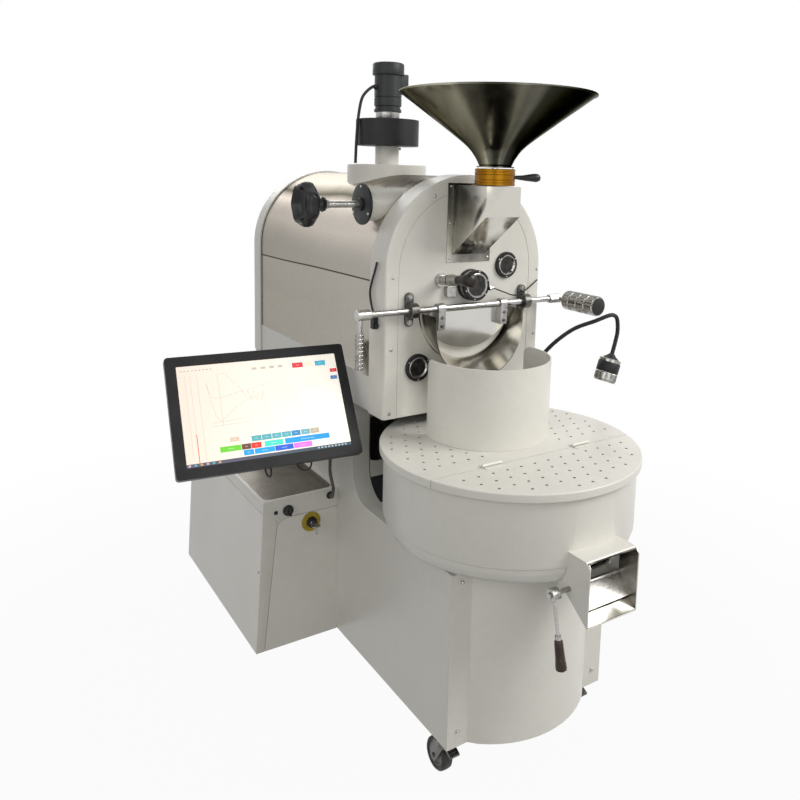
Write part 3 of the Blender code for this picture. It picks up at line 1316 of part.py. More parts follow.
def build_air():
    """Damper pipe and handwheel, exhaust base, blower, its motor and cable."""
    centre = (damper_y, damper_z)
    face = -damper_flange_x
    inner = damper_pipe_radius - sheet
    bore = damper_shaft_radius + running_gap * 2
    back = face + damper_flange / 2
    far = -casing_radius / 3
    pipe = lathe([(bore, face - damper_flange * 1.6),
                  (damper_shaft_radius * 1.7, face - damper_flange * 1.6),
                  (damper_shaft_radius * 1.9, face - damper_flange / 2),
                  (damper_flange_radius * 0.97, face - damper_flange / 2),
                  (damper_flange_radius, face - damper_flange / 3), (damper_flange_radius, back),
                  (damper_pipe_radius, back),
                  (damper_pipe_radius, far), (inner, far), (inner, back), (bore, back)], "X", centre,
                  round_steps)
    heads = []
    for k in range(3):
        angle = math.radians(90 + 120 * k)
        spot = (damper_y + damper_flange_radius * 0.85 * math.cos(angle),
                damper_z + damper_flange_radius * 0.85 * math.sin(angle))
        heads.append(screw("X", spot, face - damper_flange / 2, -1))
    slots = [block((-damper_flange_x + damper_flange * 1.5, -damper_flange_x + damper_flange * 4),
                   (damper_y - damper_pipe_radius * 0.5, damper_y + damper_pipe_radius * 0.5),
                   (damper_z - damper_pipe_radius * 1.2, damper_z))]
    keep("damper_pipe", fuse([pipe] + heads, [casing_cutter(seat_gap)] + slots), "white_paint")

    hub = -damper_wheel_inner_x
    shaft = lathe([(0, hub - plate), (damper_shaft_radius * 1.5, hub - plate),
                   (damper_shaft_radius * 1.5, hub + plate),
                   (damper_shaft_radius, hub + plate), (damper_shaft_radius, face + damper_flange * 5),
                   (0, face + damper_flange * 5)], "X", centre, round_steps)
    depth = damper_wheel_inner_x - damper_wheel_outer_x
    loops = []
    steps = wheel_lobes * 4
    shares = ((0.26, 0.0), (0.30, 0.10), (0.62, 0.26), (0.90, 0.40), (1.0, 0.60), (0.98, 0.86),
              (0.88, 1.0),
              (0.72, 0.96), (0.55, 0.70), (0.30, 0.60), (0.16, 0.60))
    for spread, rise in shares:
        row = []
        for k in range(steps):
            angle = 2 * math.pi * k / steps
            lobe = 1 + 0.055 * math.cos(wheel_lobes * angle) * max(0.0, spread - 0.4) / 0.6
            radius = damper_wheel_radius * 0.95 * spread * lobe
            row.append((hub + depth * rise, damper_y + radius * math.cos(angle),
                        damper_z + radius * math.sin(angle)))
        loops.append(row)
    wheel = loft(loops)
    blade = rod("X", centre, inner - swing_gap, face + damper_flange * 4.2, face + damper_flange * 4.6,
                round_steps)
    half_cut = block((face, face + damper_flange * 8), (damper_y - 2 * inner, damper_y + 2 * inner),
                     (damper_z + damper_shaft_radius * 1.2, damper_z + 2 * inner))
    keep("damper_handwheel", fuse([wheel, shaft, fuse([blade], [half_cut])]), "black_plastic",
         (hub, damper_y, damper_z))

    top = arch_centre_z + casing_radius
    wall = exhaust_base_radius - sheet
    base = lathe([(exhaust_pipe_radius - sheet, exhaust_base_top - sheet),
                  (wall, exhaust_base_top - sheet),
                  (wall, top - exhaust_base_radius / 2),
                  (exhaust_base_radius, top - exhaust_base_radius / 2),
                  (exhaust_base_radius, exhaust_base_top - sheet / 2),
                  (exhaust_base_radius - sheet, exhaust_base_top),
                  (exhaust_pipe_radius, exhaust_base_top),
                  (exhaust_pipe_radius, blower_low - seat_gap),
                  (exhaust_pipe_radius - sheet, blower_low - seat_gap)],
                 "Z", (0, exhaust_y), round_steps)
    keep("exhaust_stack", fuse([base], [casing_cutter(seat_gap)]), "white_paint")

    drum = lathe([(exhaust_pipe_radius - sheet, blower_low), (blower_radius * 0.97, blower_low),
                  (blower_radius, blower_low + sheet), (blower_radius, blower_high - sheet),
                  (blower_radius * 0.97, blower_high), (exhaust_pipe_radius, blower_high),
                  (exhaust_pipe_radius, spacer_top - seat_gap),
                  (shaft_radius * 0.7, spacer_top - seat_gap),
                  (shaft_radius * 0.7, blower_high - sheet),
                  (blower_radius - sheet, blower_high - sheet),
                  (blower_radius - sheet, blower_low + sheet),
                  (exhaust_pipe_radius - sheet, blower_low + sheet)], "Z", (0, exhaust_y), round_steps)
    outlet = block((-blower_radius * 0.35, blower_radius * 0.35),
                   (exhaust_y + blower_radius * 0.7, exhaust_y + blower_radius * 1.2),
                   (blower_low + 2 * sheet, blower_high - 2 * sheet))
    keep("blower_housing", fuse([drum], [outlet]), "black_paint")
    impeller = [lathe([(0, blower_low + sheet * 2), (blower_radius * 0.82, blower_low + sheet * 2),
                       (blower_radius * 0.82, blower_low + sheet * 3), (0, blower_low + sheet * 3)],
                      "Z", (0, exhaust_y), round_steps),
                rod("Z", (0, exhaust_y), shaft_radius * 0.55, blower_low + sheet * 1.4,
                    spacer_top - seat_gap * 2)]
    for k in range(8):
        fin = block((blower_radius * 0.30, blower_radius * 0.79),
                    (exhaust_y - sheet / 2, exhaust_y + sheet / 2),
                    (blower_low + sheet * 2.4, blower_high - sheet * 4))
        impeller.append(turn(fin, "Z", 360 * (k + 0.2) / 8, (0, exhaust_y, 0)))
    keep("exhaust_impeller", fuse(impeller), "grey_paint", (0, exhaust_y, (blower_low + blower_high) / 2))

    profile = [(0, spacer_top), (motor_radius, spacer_top), (motor_radius, spacer_top + plate),
               (motor_radius * 0.92, spacer_top + plate), (motor_radius * 0.92, spacer_top + plate * 2),
               (motor_radius, spacer_top + plate * 2.2), (motor_radius, motor_top),
               (motor_cap_radius, motor_top),
               (motor_cap_radius, motor_cap_top - plate / 2), (motor_cap_radius * 0.93, motor_cap_top),
               (0, motor_cap_top)]
    motor = lathe(profile, "Z", (0, exhaust_y), small_round_steps * 2)
    terminal = prism(rounded((exhaust_y - box_half_depth, exhaust_y + box_half_depth),
                             (box_low, box_high), plate / 3), "X",
                     motor_radius * 0.5, box_x)
    side_port = rod("X", (exhaust_y, box_low + plate), motor_cable_radius * 1.9, -motor_cap_radius,
                    -motor_radius * 0.6, tiny_round_steps)
    keep("blower_gearmotor", fuse([motor, terminal, side_port]), "grey_paint")

    start = Vector((-motor_cap_radius - seat_gap, exhaust_y, box_low + plate))
    reach = cable_foot_x - motor_cap_radius
    drop = box_low + plate - cable_foot_z
    path = [start + Vector((-reach * a, 0, -drop * b)) for a,
            b in zip(motor_cable_reach_shares, motor_cable_drop_shares)]
    path[0] = start - Vector((plate / 2, 0, 0))
    lowest = path[-1]
    slope_z = arch_centre_z + math.sqrt(casing_radius ** 2 - cable_foot_x ** 2)
    path[-1] = Vector((lowest.x, lowest.y, max(slope_z + motor_cable_radius,
                                               exhaust_base_top + motor_cable_radius / 2)))
    keep("motor_cable", sweep([start] + smooth_path(path, 3), motor_cable_radius, 8), "black_rubber")


def bowl_profile(inset):
    """Outer or inner bowl line (radius, z) from the wall's foot down to the flat."""
    wide = bin_radius - inset
    made = []
    for down, share in bowl_shares:
        radius = bin_foot_radius + (wide - bin_foot_radius) * share ** 0.62
        made.append((radius, bin_wall_low - (bin_wall_low - bin_foot_z - inset) * down))
    return made


def build_bin():
    """Bin tub, screen floor, lids, guard, stirrer and fan."""
    centre = (0, bin_y)
    top = lid_top - lid_sheet - seat_gap
    outer = bowl_profile(0)
    inner = bowl_profile(sheet)
    profile = ([(bin_radius - sheet, top), (bin_radius, top)] + outer + [(air_hole_radius, bin_foot_z),
               (air_hole_radius, bin_foot_z + sheet)] + inner[::-1])
    tub = lathe(profile, "Z", centre, large_round_steps)
    port = block((-port_half_width, port_half_width),
                 (bin_y - 1.2 * bin_radius, bin_y - 0.5 * bin_radius),
                 (port_low, port_high))
    keep("bin_tub", fuse([tub], [port]), "white_paint")

    z = screen_floor_z
    bore = shaft_radius * 0.6 + running_gap * 2
    foot = bin_foot_z + sheet + seat_gap
    floor = lathe([(0, gearbox_low), (gearbox_radius, gearbox_low), (gearbox_radius, z),
                   (screen_skirt_radius - sheet, z),
                   (screen_skirt_radius - sheet, foot), (screen_skirt_radius, foot),
                   (screen_skirt_radius, z), (screen_floor_radius, z),
                   (screen_floor_radius, z + sheet), (gearbox_radius, z + sheet),
                   (gearbox_radius, gearbox_top - plate / 2),
                   (gearbox_radius * 0.6, gearbox_top), (bore, gearbox_top),
                   (bore, gearbox_top - plate * 4),
                   (0, gearbox_top - plate * 4)], "Z", centre, round_steps)
    holes = []
    for ring_share, count in ((0.45, 8), (0.78, 12)):
        for k in range(count):
            angle = 2 * math.pi * k / count
            r = screen_floor_radius * ring_share
            holes.append(rod("Z", (r * math.cos(angle), bin_y + r * math.sin(angle)), plate * 0.75,
                             z - plate * 2, z + plate, 6))
    keep("bin_screen_floor", fuse([floor], [gather(holes)]), "brushed_steel")

    spindle = rod("Z", centre, shaft_radius * 0.6, gearbox_top - plate * 3, stirrer_z + paddle_height,
                  round_steps)
    hub = lathe([(0, gearbox_top + swing_gap), (gearbox_radius * 0.5, gearbox_top + swing_gap),
                 (gearbox_radius * 0.4, stirrer_z + paddle_height), (0, stirrer_z + paddle_height)],
                 "Z", centre, small_round_steps)
    arms = []
    for k in range(stirrer_arms):
        bar = block((0, stirrer_reach * 0.92), (bin_y - plate / 2, bin_y + plate / 2),
                    (stirrer_z + plate, stirrer_z + plate * 2))
        blades = []
        for share in (0.40, 0.64, 0.88):
            x = stirrer_reach * share
            blade = block((x - plate * 2.4, x + plate * 2.4), (bin_y - sheet / 2, bin_y + sheet / 2),
                          (screen_floor_z + sheet + swing_gap * 2, stirrer_z + paddle_height / 2))
            blades.append(turn(blade, "Z", 35, (x, bin_y, 0)))
        for item in [bar] + blades:
            arms.append(turn(item, "Z", 30 + 360 * k / stirrer_arms, (0, bin_y, 0)))
    keep("bin_stirrer", fuse([hub, spindle] + arms), "brushed_steel", (0, bin_y, stirrer_z))

    fan_low = caster_height + sheet
    blades = [rod("Z", centre, gearbox_radius, fan_z, fan_z + fan_height * 0.6),
              rod("Z", centre, shaft_radius * 0.6, fan_low + plate * 4, fan_z + sheet, round_steps)]
    for k in range(6):
        vane = block((gearbox_radius * 0.8, fan_radius), (bin_y - sheet / 2, bin_y + sheet / 2),
                     (fan_z + sheet, fan_z + fan_height * 0.55))
        turn(vane, "X", 28, (0, bin_y, fan_z + fan_height * 0.3))
        blades.append(turn(vane, "Z", 360 * k / 6, (0, bin_y, 0)))
    keep("cooling_fan", fuse(blades), "black_plastic", (0, bin_y, fan_z))


def lid_solid():
    """Whole lid with its lip, before it is split at the seam."""
    low = lid_top - lid_lip
    inside = bin_radius + seat_gap * 2
    return lathe([(0, lid_top - lid_sheet), (inside, lid_top - lid_sheet), (inside, low),
                  (lid_radius - sheet / 3, low),
                  (lid_radius, low + sheet / 3), (lid_radius, lid_top - sheet / 2),
                  (lid_radius - sheet / 2, lid_top), (0, lid_top)],
                 "Z", (0, bin_y), large_round_steps)


def build_lids():
    """Rear lid with hinge knuckles, front flap and guard collar."""
    wide = 2 * lid_radius
    half_gap = swing_gap / 2
    front_half = block((-wide, wide), (-wide, lid_seam_y + half_gap), (lid_top - wide, lid_top + wide))
    rear = fuse([lid_solid()], [front_half])
    window = arc((0, guard_y), lid_window_radius, 0, 360, 20)[:-1]
    window_cut = prism(window, "Z", lid_top - wide, lid_top + wide)
    hinge_z = lid_top + hinge_radius + sheet / 2
    knuckles = []
    for side in (-1, 1):
        x = side * flap_hinge_x
        third = hinge_length / 3
        for a, b in ((-1.5, -0.5), (0.5, 1.5)):
            low_x = x + a * third + seat_gap
            high_x = x + b * third - seat_gap
            knuckles.append(ring("X", (lid_seam_y, hinge_z), hinge_radius * 0.45 + running_gap * 5,
                                 hinge_radius, low_x, high_x, tiny_round_steps))
            knuckles.append(block((low_x, high_x),
                                  (lid_seam_y + hinge_radius * 0.6, lid_seam_y + hinge_radius * 3),
                                  (lid_top - sheet / 2, lid_top + sheet / 2)))
            knuckles.append(block((low_x, high_x),
                                  (lid_seam_y + hinge_radius * 0.6, lid_seam_y + hinge_radius),
                                  (lid_top - sheet / 2, hinge_z)))
    bores = [rod("X", (lid_seam_y, hinge_z), hinge_radius * 0.45 + running_gap * 5,
                 side * flap_hinge_x - hinge_length,
                 side * flap_hinge_x + hinge_length, tiny_round_steps) for side in (-1, 1)]
    keep("rear_lid", fuse([rear] + knuckles, [window_cut] + bores), "white_paint")

    rear_half = block((-wide, wide), (lid_seam_y - half_gap, wide), (lid_top - wide, lid_top + wide))
    flap = fuse([lid_solid()], [rear_half])
    parts = []
    for side in (-1, 1):
        x = side * flap_hinge_x
        third = hinge_length / 3
        low_x = x - third / 2 + seat_gap
        high_x = x + third / 2 - seat_gap
        pin = hinge_radius * 0.45
        parts.append(lathe([(0, x - 1.4 * third), (pin, x - 1.4 * third), (pin, low_x),
                            (hinge_radius, low_x),
                            (hinge_radius, high_x), (pin, high_x), (pin, x + 1.4 * third),
                            (0, x + 1.4 * third)],
                           "X", (lid_seam_y, hinge_z), tiny_round_steps))
        parts.append(block((low_x, high_x), (lid_seam_y - hinge_radius * 3, lid_seam_y - half_gap),
                           (lid_top - sheet / 2, lid_top + sheet / 2)))
        parts.append(block((low_x, high_x), (lid_seam_y - hinge_radius, lid_seam_y - half_gap),
                           (lid_top - sheet / 2, hinge_z)))
    keep("front_lid_flap", fuse([flap] + parts), "white_paint", (0, lid_seam_y, hinge_z))

    low = lid_top + seat_gap
    end_deg = math.degrees(math.asin((guard_end_y - guard_y) / guard_radius))
    outer = arc((0, guard_y), guard_radius, 180 - end_deg, 360 + end_deg, 28)
    inner = arc((0, guard_y), guard_radius - guard_sheet, 360 + end_deg, 180 - end_deg, 28)
    wall = prism(outer + inner, "Z", low, guard_top)
    trims = []
    for side in (-1, 1):
        y = guard_end_y
        z = guard_top
        corner = [(y + sheet, z + sheet), (y + sheet, z - guard_corner)] + [(y, z - guard_corner)] + arc(
            (y - guard_corner, z - guard_corner), guard_corner, 0, 90,
            6)[1:] + [(y - guard_corner, z + sheet)]
        ends = sorted((side * guard_radius * 0.75, side * guard_radius * 1.1))
        trims.append(prism(corner, "X", ends[0], ends[1]))
    keep("guard_collar", fuse([wall], trims), "white_paint")


def build_outlet():
    """Discharge chute on the bin and its gate."""
    w = outlet_half_width
    back = outlet_back_y
    side = ([(back, outlet_top_z)] + [(outlet_front_y + outlet_corner, outlet_top_z),
            (outlet_front_y, outlet_top_z - outlet_corner), (outlet_front_y, outlet_lip_z),
            (back, outlet_heel_z),
            (back + outlet_corner * 6, outlet_heel_z + outlet_corner * 2),
            (back + outlet_corner * 6, outlet_top_z)])
    whole = prism(side, "X", -w, w)
    t = sheet * 0.8
    room = prism([(back + outlet_corner * 8, outlet_top_z - t * 1.2),
                  (outlet_front_y - w, outlet_top_z - t * 1.2),
                  (outlet_front_y - w, outlet_lip_z - w + t), (outlet_front_y, outlet_lip_z + t),
                  (back, outlet_heel_z + t),
                  (back + outlet_corner * 8, outlet_heel_z + outlet_corner * 2.8 + t)], "X", -w + t,
                  w - t)
    front_open = block((-w + t, w - t), (outlet_front_y - w, outlet_front_y + t),
                       (outlet_lip_z + t * 1.5, outlet_top_z + w))
    profile = [(0, bin_foot_z - w)] + [(r + seat_gap, z) for r, z in bowl_profile(0)[::-1]] + [
        (bin_radius + seat_gap, outlet_top_z + w), (0, outlet_top_z + w)]
    bowl = lathe([(0, bin_foot_z - w), (bin_foot_radius + seat_gap, bin_foot_z - w)] + profile[1:], "Z",
                 (0, bin_y), large_round_steps)
    shaft_hole = rod("X", (gate_axis_y, gate_axis_z), gate_shaft_radius + running_gap * 2, -2 * w, 2 * w)
    keep("discharge_chute", fuse([whole], [room, front_open, bowl, shaft_hole]), "white_paint")

    axis = (gate_axis_y, gate_axis_z)
    pivot = (0, gate_axis_y, gate_axis_z)
    shaft = rod("X", axis, gate_shaft_radius, -gate_lever_x - gate_hub_radius * 0.6,
                w + gate_hub_radius / 2)
    nut = rod("X", axis, gate_shaft_radius * 1.7, w + swing_gap, w + gate_hub_radius / 2, 6)
    slope = math.atan2(outlet_heel_z - outlet_lip_z, back - outlet_front_y)
    ahead = Vector((0, -math.cos(slope), -math.sin(slope)))
    up = Vector((0, -math.sin(slope), math.cos(slope)))
    start = Vector((0, gate_axis_y, gate_axis_z))
    blade_half = w - t - swing_gap
    loops = []
    for x in (-blade_half, blade_half):
        shift = Vector((x, 0, 0))
        loops.append([start + shift - up * gate_sheet / 2,
                      start + shift + ahead * gate_reach - up * gate_sheet / 2,
                      start + shift + ahead * gate_reach + up * gate_sheet / 2,
                      start + shift + up * gate_sheet / 2])
    blade = loft(loops)
    hub = rod("X", axis, gate_hub_radius, -gate_lever_x - gate_hub_radius * 0.7,
              -gate_lever_x + gate_hub_radius * 0.7)
    lean = math.radians(gate_lever_deg)
    down = Vector((0, -math.sin(lean), -math.cos(lean)))
    origin = Vector((-gate_lever_x, gate_axis_y, gate_axis_z))
    rod_end = origin + down * gate_lever_length
    stick = sweep([origin, rod_end + down * sheet], gate_rod_radius, tiny_round_steps)
    grip_path = [rod_end + down * gate_grip_length * s for s in (0.0, 0.06, 0.5, 0.92, 1.0)]
    grip = sweep(grip_path, [gate_rod_radius * 1.6, gate_rod_radius * 1.9, gate_rod_radius * 2.2,
                             gate_rod_radius * 2.5,
                             gate_rod_radius * 2.0], tiny_round_steps)
    keep("outlet_gate", fuse([shaft, nut, blade, hub, stick, grip]), "brushed_steel", pivot)


def build_lamp():
    """Gooseneck lamp on the right of the front arch."""
    wall = arch_radius + seat_gap
    base = rod("X", (lamp_y, lamp_base_z), lamp_base_radius, wall, wall + plate)
    reach = lamp_rise * 0.67
    path = []
    for a, b in zip(lamp_reach_shares, lamp_rise_shares):
        path.append((wall + plate * 0.9 + reach * a, lamp_y + (feed_y - lamp_y) * min(1.0, a * 1.4),
                     lamp_base_z + lamp_rise * b))
    neck = sweep(smooth_path(path, 2), lamp_neck_radius, 8)
    tip = Vector(path[-1])
    ahead = Vector((-math.sin(math.radians(lamp_drop_deg)), 0, -math.cos(math.radians(lamp_drop_deg))))
    shares = ((0.30, -0.02), (0.62, 0.04), (0.92, 0.14), (1.0, 0.24), (1.0, 0.60), (0.95, 0.63),
              (0.95, 0.70), (1.0, 0.73),
              (1.0, 0.97), (0.94, 1.0))
    head = sweep([tip + ahead * lamp_head_length * d for r, d in shares],
                 [lamp_head_radius * r for r, d in shares],
                 round_steps)
    keep("work_lamp", fuse([base, neck, head]), "black_paint")


def centre_on_floor():
    """Move everything so that the origin is on the floor under the centre of the whole box."""
    bpy.context.view_layer.update()
    corners = [item.matrix_world @ Vector(v.co) for item in bpy.data.objects for v in item.data.vertices]
    low = [min(c[k] for c in corners) for k in range(3)]
    high = [max(c[k] for c in corners) for k in range(3)]
    shift = Vector((-(low[0] + high[0]) / 2, -(low[1] + high[1]) / 2, -low[2]))
    for item in bpy.data.objects:
        item.location = item.location + shift
    print("moved by", [round(v, 6) for v in shift], "box", [round(h - l, 6) for l, h in zip(low, high)])


clear_scene()
build_pedestal()
build_casters()
build_cabinet()
build_screen()
build_head()
build_drum()
build_face_fittings()
build_door()
build_spout()
build_feed()
build_air()
build_bin()
build_lids()
build_outlet()
build_lamp()
centre_on_floor()
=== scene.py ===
"""Looks of a small shop coffee roaster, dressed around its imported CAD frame."""

import logging
import math
from dataclasses import dataclass
from enum import Enum

import bmesh
import bpy
from mathutils import Matrix, Vector


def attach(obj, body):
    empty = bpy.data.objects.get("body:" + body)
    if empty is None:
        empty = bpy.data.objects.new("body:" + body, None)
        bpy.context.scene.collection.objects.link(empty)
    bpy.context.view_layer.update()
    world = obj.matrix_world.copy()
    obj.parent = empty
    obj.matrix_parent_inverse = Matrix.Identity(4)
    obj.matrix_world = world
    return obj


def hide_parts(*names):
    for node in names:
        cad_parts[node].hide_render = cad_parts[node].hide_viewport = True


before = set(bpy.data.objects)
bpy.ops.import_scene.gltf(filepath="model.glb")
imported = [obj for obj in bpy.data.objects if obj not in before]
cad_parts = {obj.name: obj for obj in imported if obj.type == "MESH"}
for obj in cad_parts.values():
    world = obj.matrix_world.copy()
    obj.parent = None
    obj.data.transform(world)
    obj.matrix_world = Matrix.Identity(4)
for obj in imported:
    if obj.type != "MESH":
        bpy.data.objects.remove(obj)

log = logging.getLogger("roaster")

Colour = tuple[float, float, float]
Point = tuple[float, float, float]

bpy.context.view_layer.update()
SHIFT = Vector((0.12678, -0.4585, 0.0))


class Axis(Enum):
    """The world axes that turned and drawn pieces follow."""

    X = Vector((1.0, 0.0, 0.0))
    Y = Vector((0.0, 1.0, 0.0))
    Z = Vector((0.0, 0.0, 1.0))


class Wire:
    """A shader value: an output socket whose Python operators add Math nodes."""

    def __init__(self, shader: "Shader", socket: bpy.types.NodeSocket) -> None:
        """Keeps the socket and the shader that it belongs to."""
        self.shader = shader
        self.socket = socket

    def maths(self, operation: str, *others: "Wire | float") -> "Wire":
        """Adds one Math node.

        Args:
            operation: the node's operation.
            others: what follows this value, in order.

        Returns:
            The node's result.
        """
        values = {i + 1: other for i, other in enumerate(others)}
        return self.shader.node("ShaderNodeMath", {"operation": operation}, {0: self, **values})

    def flipped(self, operation: str, first: float) -> "Wire":
        """Adds one Math node in which this value comes second."""
        return self.shader.node("ShaderNodeMath", {"operation": operation}, {0: first, 1: self})

    def __add__(self, other: "Wire | float") -> "Wire":
        """Sum."""
        return self.maths("ADD", other)

    __radd__ = __add__

    def __mul__(self, other: "Wire | float") -> "Wire":
        """Product."""
        return self.maths("MULTIPLY", other)

    __rmul__ = __mul__

    def __sub__(self, other: "Wire | float") -> "Wire":
        """Difference."""
        return self.maths("SUBTRACT", other)

    def __rsub__(self, other: float) -> "Wire":
        """Difference from a number."""
        return self.flipped("SUBTRACT", other)

    def __truediv__(self, other: "Wire | float") -> "Wire":
        """Quotient."""
        return self.maths("DIVIDE", other)

    def __gt__(self, other: "Wire | float") -> "Wire":
        """One where this value is the larger, else zero."""
        return self.maths("GREATER_THAN", other)


class Shader:
    """One material's or world's node tree, built a node at a time."""

    def __init__(self, owner: bpy.types.Material | bpy.types.World) -> None:
        """Empties the owner's node tree."""
        self.owner = owner
        owner.use_nodes = True
        self.tree = owner.node_tree
        self.tree.nodes.clear()

    def node(self, kind: str, settings: dict | None = None, inputs: dict | None = None,
             output: int | str = 0) -> Wire:
        """Adds one node.

        Args:
            kind: the node's type.
            settings: its own settings, set first; "stops" are a ramp's (place, colour) pairs.
            inputs: its sockets' values or wires, by name or number.
            output: the socket that is read.

        Returns:
            The node's output.
        """
        made = self.tree.nodes.new(kind)
        for key, value in (settings or {}).items():
            if key == "stops":
                self.set_stops(made.color_ramp, value)
            else:
                setattr(made, key, value)
        for key, value in (inputs or {}).items():
            if isinstance(value, Wire):
                self.tree.links.new(value.socket, made.inputs[key])
            else:
                made.inputs[key].default_value = value
        return Wire(self, made.outputs[output])

    @staticmethod
    def set_stops(ramp: bpy.types.ColorRamp, stops: list[tuple[float, Colour]]) -> None:
        """Gives a ramp its (place, colour) stops."""
        while len(ramp.elements) < len(stops):
            ramp.elements.new(0.5)
        for element, (place, colour) in zip(ramp.elements, stops):
            element.position = place
            element.color = (*colour, 1.0)

    def place(self) -> Wire:
        """The object coordinates."""
        return self.node("ShaderNodeTexCoord", output="Object")

    def centred(self, centre: Point, turn: Point = (0, 0, 0), scale: Point = (1, 1, 1)) -> Wire:
        """Object coordinates measured from a centre.

        Args:
            centre: the pattern's origin.
            turn: how the pattern is turned, in radians.
            scale: how the pattern is stretched.

        Returns:
            The mapped coordinates.
        """
        offset = self.node("ShaderNodeVectorMath", {"operation": "SUBTRACT"},
                           {0: self.place(), 1: centre})
        return self.node("ShaderNodeMapping", {"vector_type": "POINT"},
                         {"Vector": offset, "Rotation": turn, "Scale": scale})

    def parts(self, vector: Wire) -> tuple[Wire, Wire, Wire]:
        """A vector's three numbers."""
        made = self.tree.nodes.new("ShaderNodeSeparateXYZ")
        self.tree.links.new(vector.socket, made.inputs[0])
        return tuple(Wire(self, made.outputs[i]) for i in range(3))

    def noise(self, vector: Wire, scale: float, detail: float = 3.0,
              roughness: float = 0.5) -> Wire:
        """Cloudy noise from zero to one."""
        return self.node("ShaderNodeTexNoise", None,
                         {"Vector": vector, "Scale": scale, "Detail": detail,
                          "Roughness": roughness})

    def ramp(self, factor: Wire, stops: list[tuple[float, Colour]]) -> Wire:
        """A colour picked along a ramp."""
        return self.node("ShaderNodeValToRGB", {"stops": stops}, {0: factor})

    def level(self, value: Wire, low: float, high: float, to_low: float = 0.0,
              to_high: float = 1.0) -> Wire:
        """A value's range mapped smoothly to another.

        Args:
            value: what is mapped.
            low: the value that gives to_low.
            high: the value that gives to_high.
            to_low: the result at low.
            to_high: the result at high.

        Returns:
            The mapped value.
        """
        return self.node("ShaderNodeMapRange", {"interpolation_type": "SMOOTHSTEP"},
                         {"Value": value, "From Min": low, "From Max": high,
                          "To Min": to_low, "To Max": to_high})

    def blend(self, factor: Wire, first: Wire | Colour, second: Wire | Colour) -> Wire:
        """A mix of two colours.

        Args:
            factor: zero for the first, one for the second.
            first: a wire or a plain colour.
            second: a wire or a plain colour.

        Returns:
            The mixed colour.
        """
        values = {0: factor}
        for socket, colour in ((6, first), (7, second)):
            values[socket] = colour if isinstance(colour, Wire) else (*colour, 1.0)
        return self.node("ShaderNodeMix", {"data_type": "RGBA"}, values, output=2)

    def bump(self, height: Wire, distance: float, strength: float = 1.0) -> Wire:
        """A normal from a height.

        Args:
            height: the height field, zero to one.
            distance: its depth in metres.
            strength: how much of it shows.

        Returns:
            The normal.
        """
        return self.node("ShaderNodeBump", None,
                         {"Height": height, "Distance": distance, "Strength": strength})

    def surface(self, **values: "Wire | float | tuple") -> bpy.types.Material:
        """Ends the tree in a Principled shader.

        Args:
            values: its sockets, with _ for a space in their names.

        Returns:
            The finished material.
        """
        inputs = {}
        for key, value in values.items():
            if isinstance(value, tuple) and len(value) == 3:
                value = (*value, 1.0)
            inputs[key.replace("_", " ")] = value
        shader = self.node("ShaderNodeBsdfPrincipled", None, inputs)
        self.end(shader)
        return self.owner

    def end(self, shader: Wire, kind: str = "ShaderNodeOutputMaterial") -> None:
        """Links a shader to the output node of the given type."""
        out = self.tree.nodes.new(kind)
        self.tree.links.new(shader.socket, out.inputs["Surface"])

    def rays(self, *kinds: str) -> Wire:
        """One for the rays of the named kinds, else zero."""
        first, *rest = (self.node("ShaderNodeLightPath", output=f"Is {kind} Ray")
                        for kind in kinds)
        for other in rest:
            first = first.maths("MAXIMUM", other)
        return first


@dataclass(frozen=True)
class Finish:
    """What a finish has in common: its material's name and the record's slot that it shows."""

    name: str
    slot: str

    def material(self) -> bpy.types.Material:
        """Builds the material, as each kind of finish does in its own way."""
        raise NotImplementedError


@dataclass(frozen=True)
class Coat(Finish):
    """A sprayed coat: paint, powder or lacquer, with orange peel and faint clouding."""

    colour: Colour
    shade: Colour
    roughness: float = 0.36
    peel: float = 0.00012
    grain: float = 420.0
    coat: float = 0.15
    shine: float = 0.5

    def material(self) -> bpy.types.Material:
        """Builds the material."""
        s = Shader(bpy.data.materials.new(self.name))
        place = s.place()
        clouds = s.noise(place, 3.2, 4.0, 0.55)
        dust = s.noise(place, 46.0, 5.0, 0.62)
        peel = s.noise(place, self.grain, 2.0, 0.4)
        mix = s.level(clouds * 0.7 + dust * 0.3, 0.36, 0.66)
        colour = s.blend(mix, self.shade, self.colour)
        rough = s.level(dust, 0.3, 0.72, self.roughness - 0.05, self.roughness + 0.08)
        return s.surface(Base_Color=colour, Roughness=rough, Coat_Weight=self.coat,
                         Coat_Roughness=0.22, Specular_IOR_Level=self.shine,
                         Normal=s.bump(peel, self.peel, 0.35))


@dataclass(frozen=True)
class PolishedSteel(Finish):
    """Polished sheet: soft bands of reflected room, smudges and hairlines."""

    bright: Colour = (0.82, 0.80, 0.76)
    dark: Colour = (0.30, 0.29, 0.27)
    centre: Point = (0.0, 0.0, 0.0)
    stretch: Point = (2.0, 2.0, 0.6)
    roughness: float = 0.12

    def material(self) -> bpy.types.Material:
        """Builds the material."""
        s = Shader(bpy.data.materials.new(self.name))
        place = s.centred(self.centre, scale=self.stretch)
        bands = s.noise(place, 2.6, 2.0, 0.4)
        smudge = s.noise(s.place(), 18.0, 4.0, 0.6)
        hair = s.noise(s.centred(self.centre, scale=(1.0, 1.0, 40.0)), 26.0, 2.0, 0.5)
        colour = s.blend(s.level(bands + 0.12 * smudge, 0.44, 0.68), self.dark, self.bright)
        rough = s.level(smudge, 0.3, 0.75, self.roughness, self.roughness + 0.12)
        return s.surface(Base_Color=colour, Metallic=1.0, Roughness=rough,
                         Normal=s.bump(hair, 0.00003, 0.25))


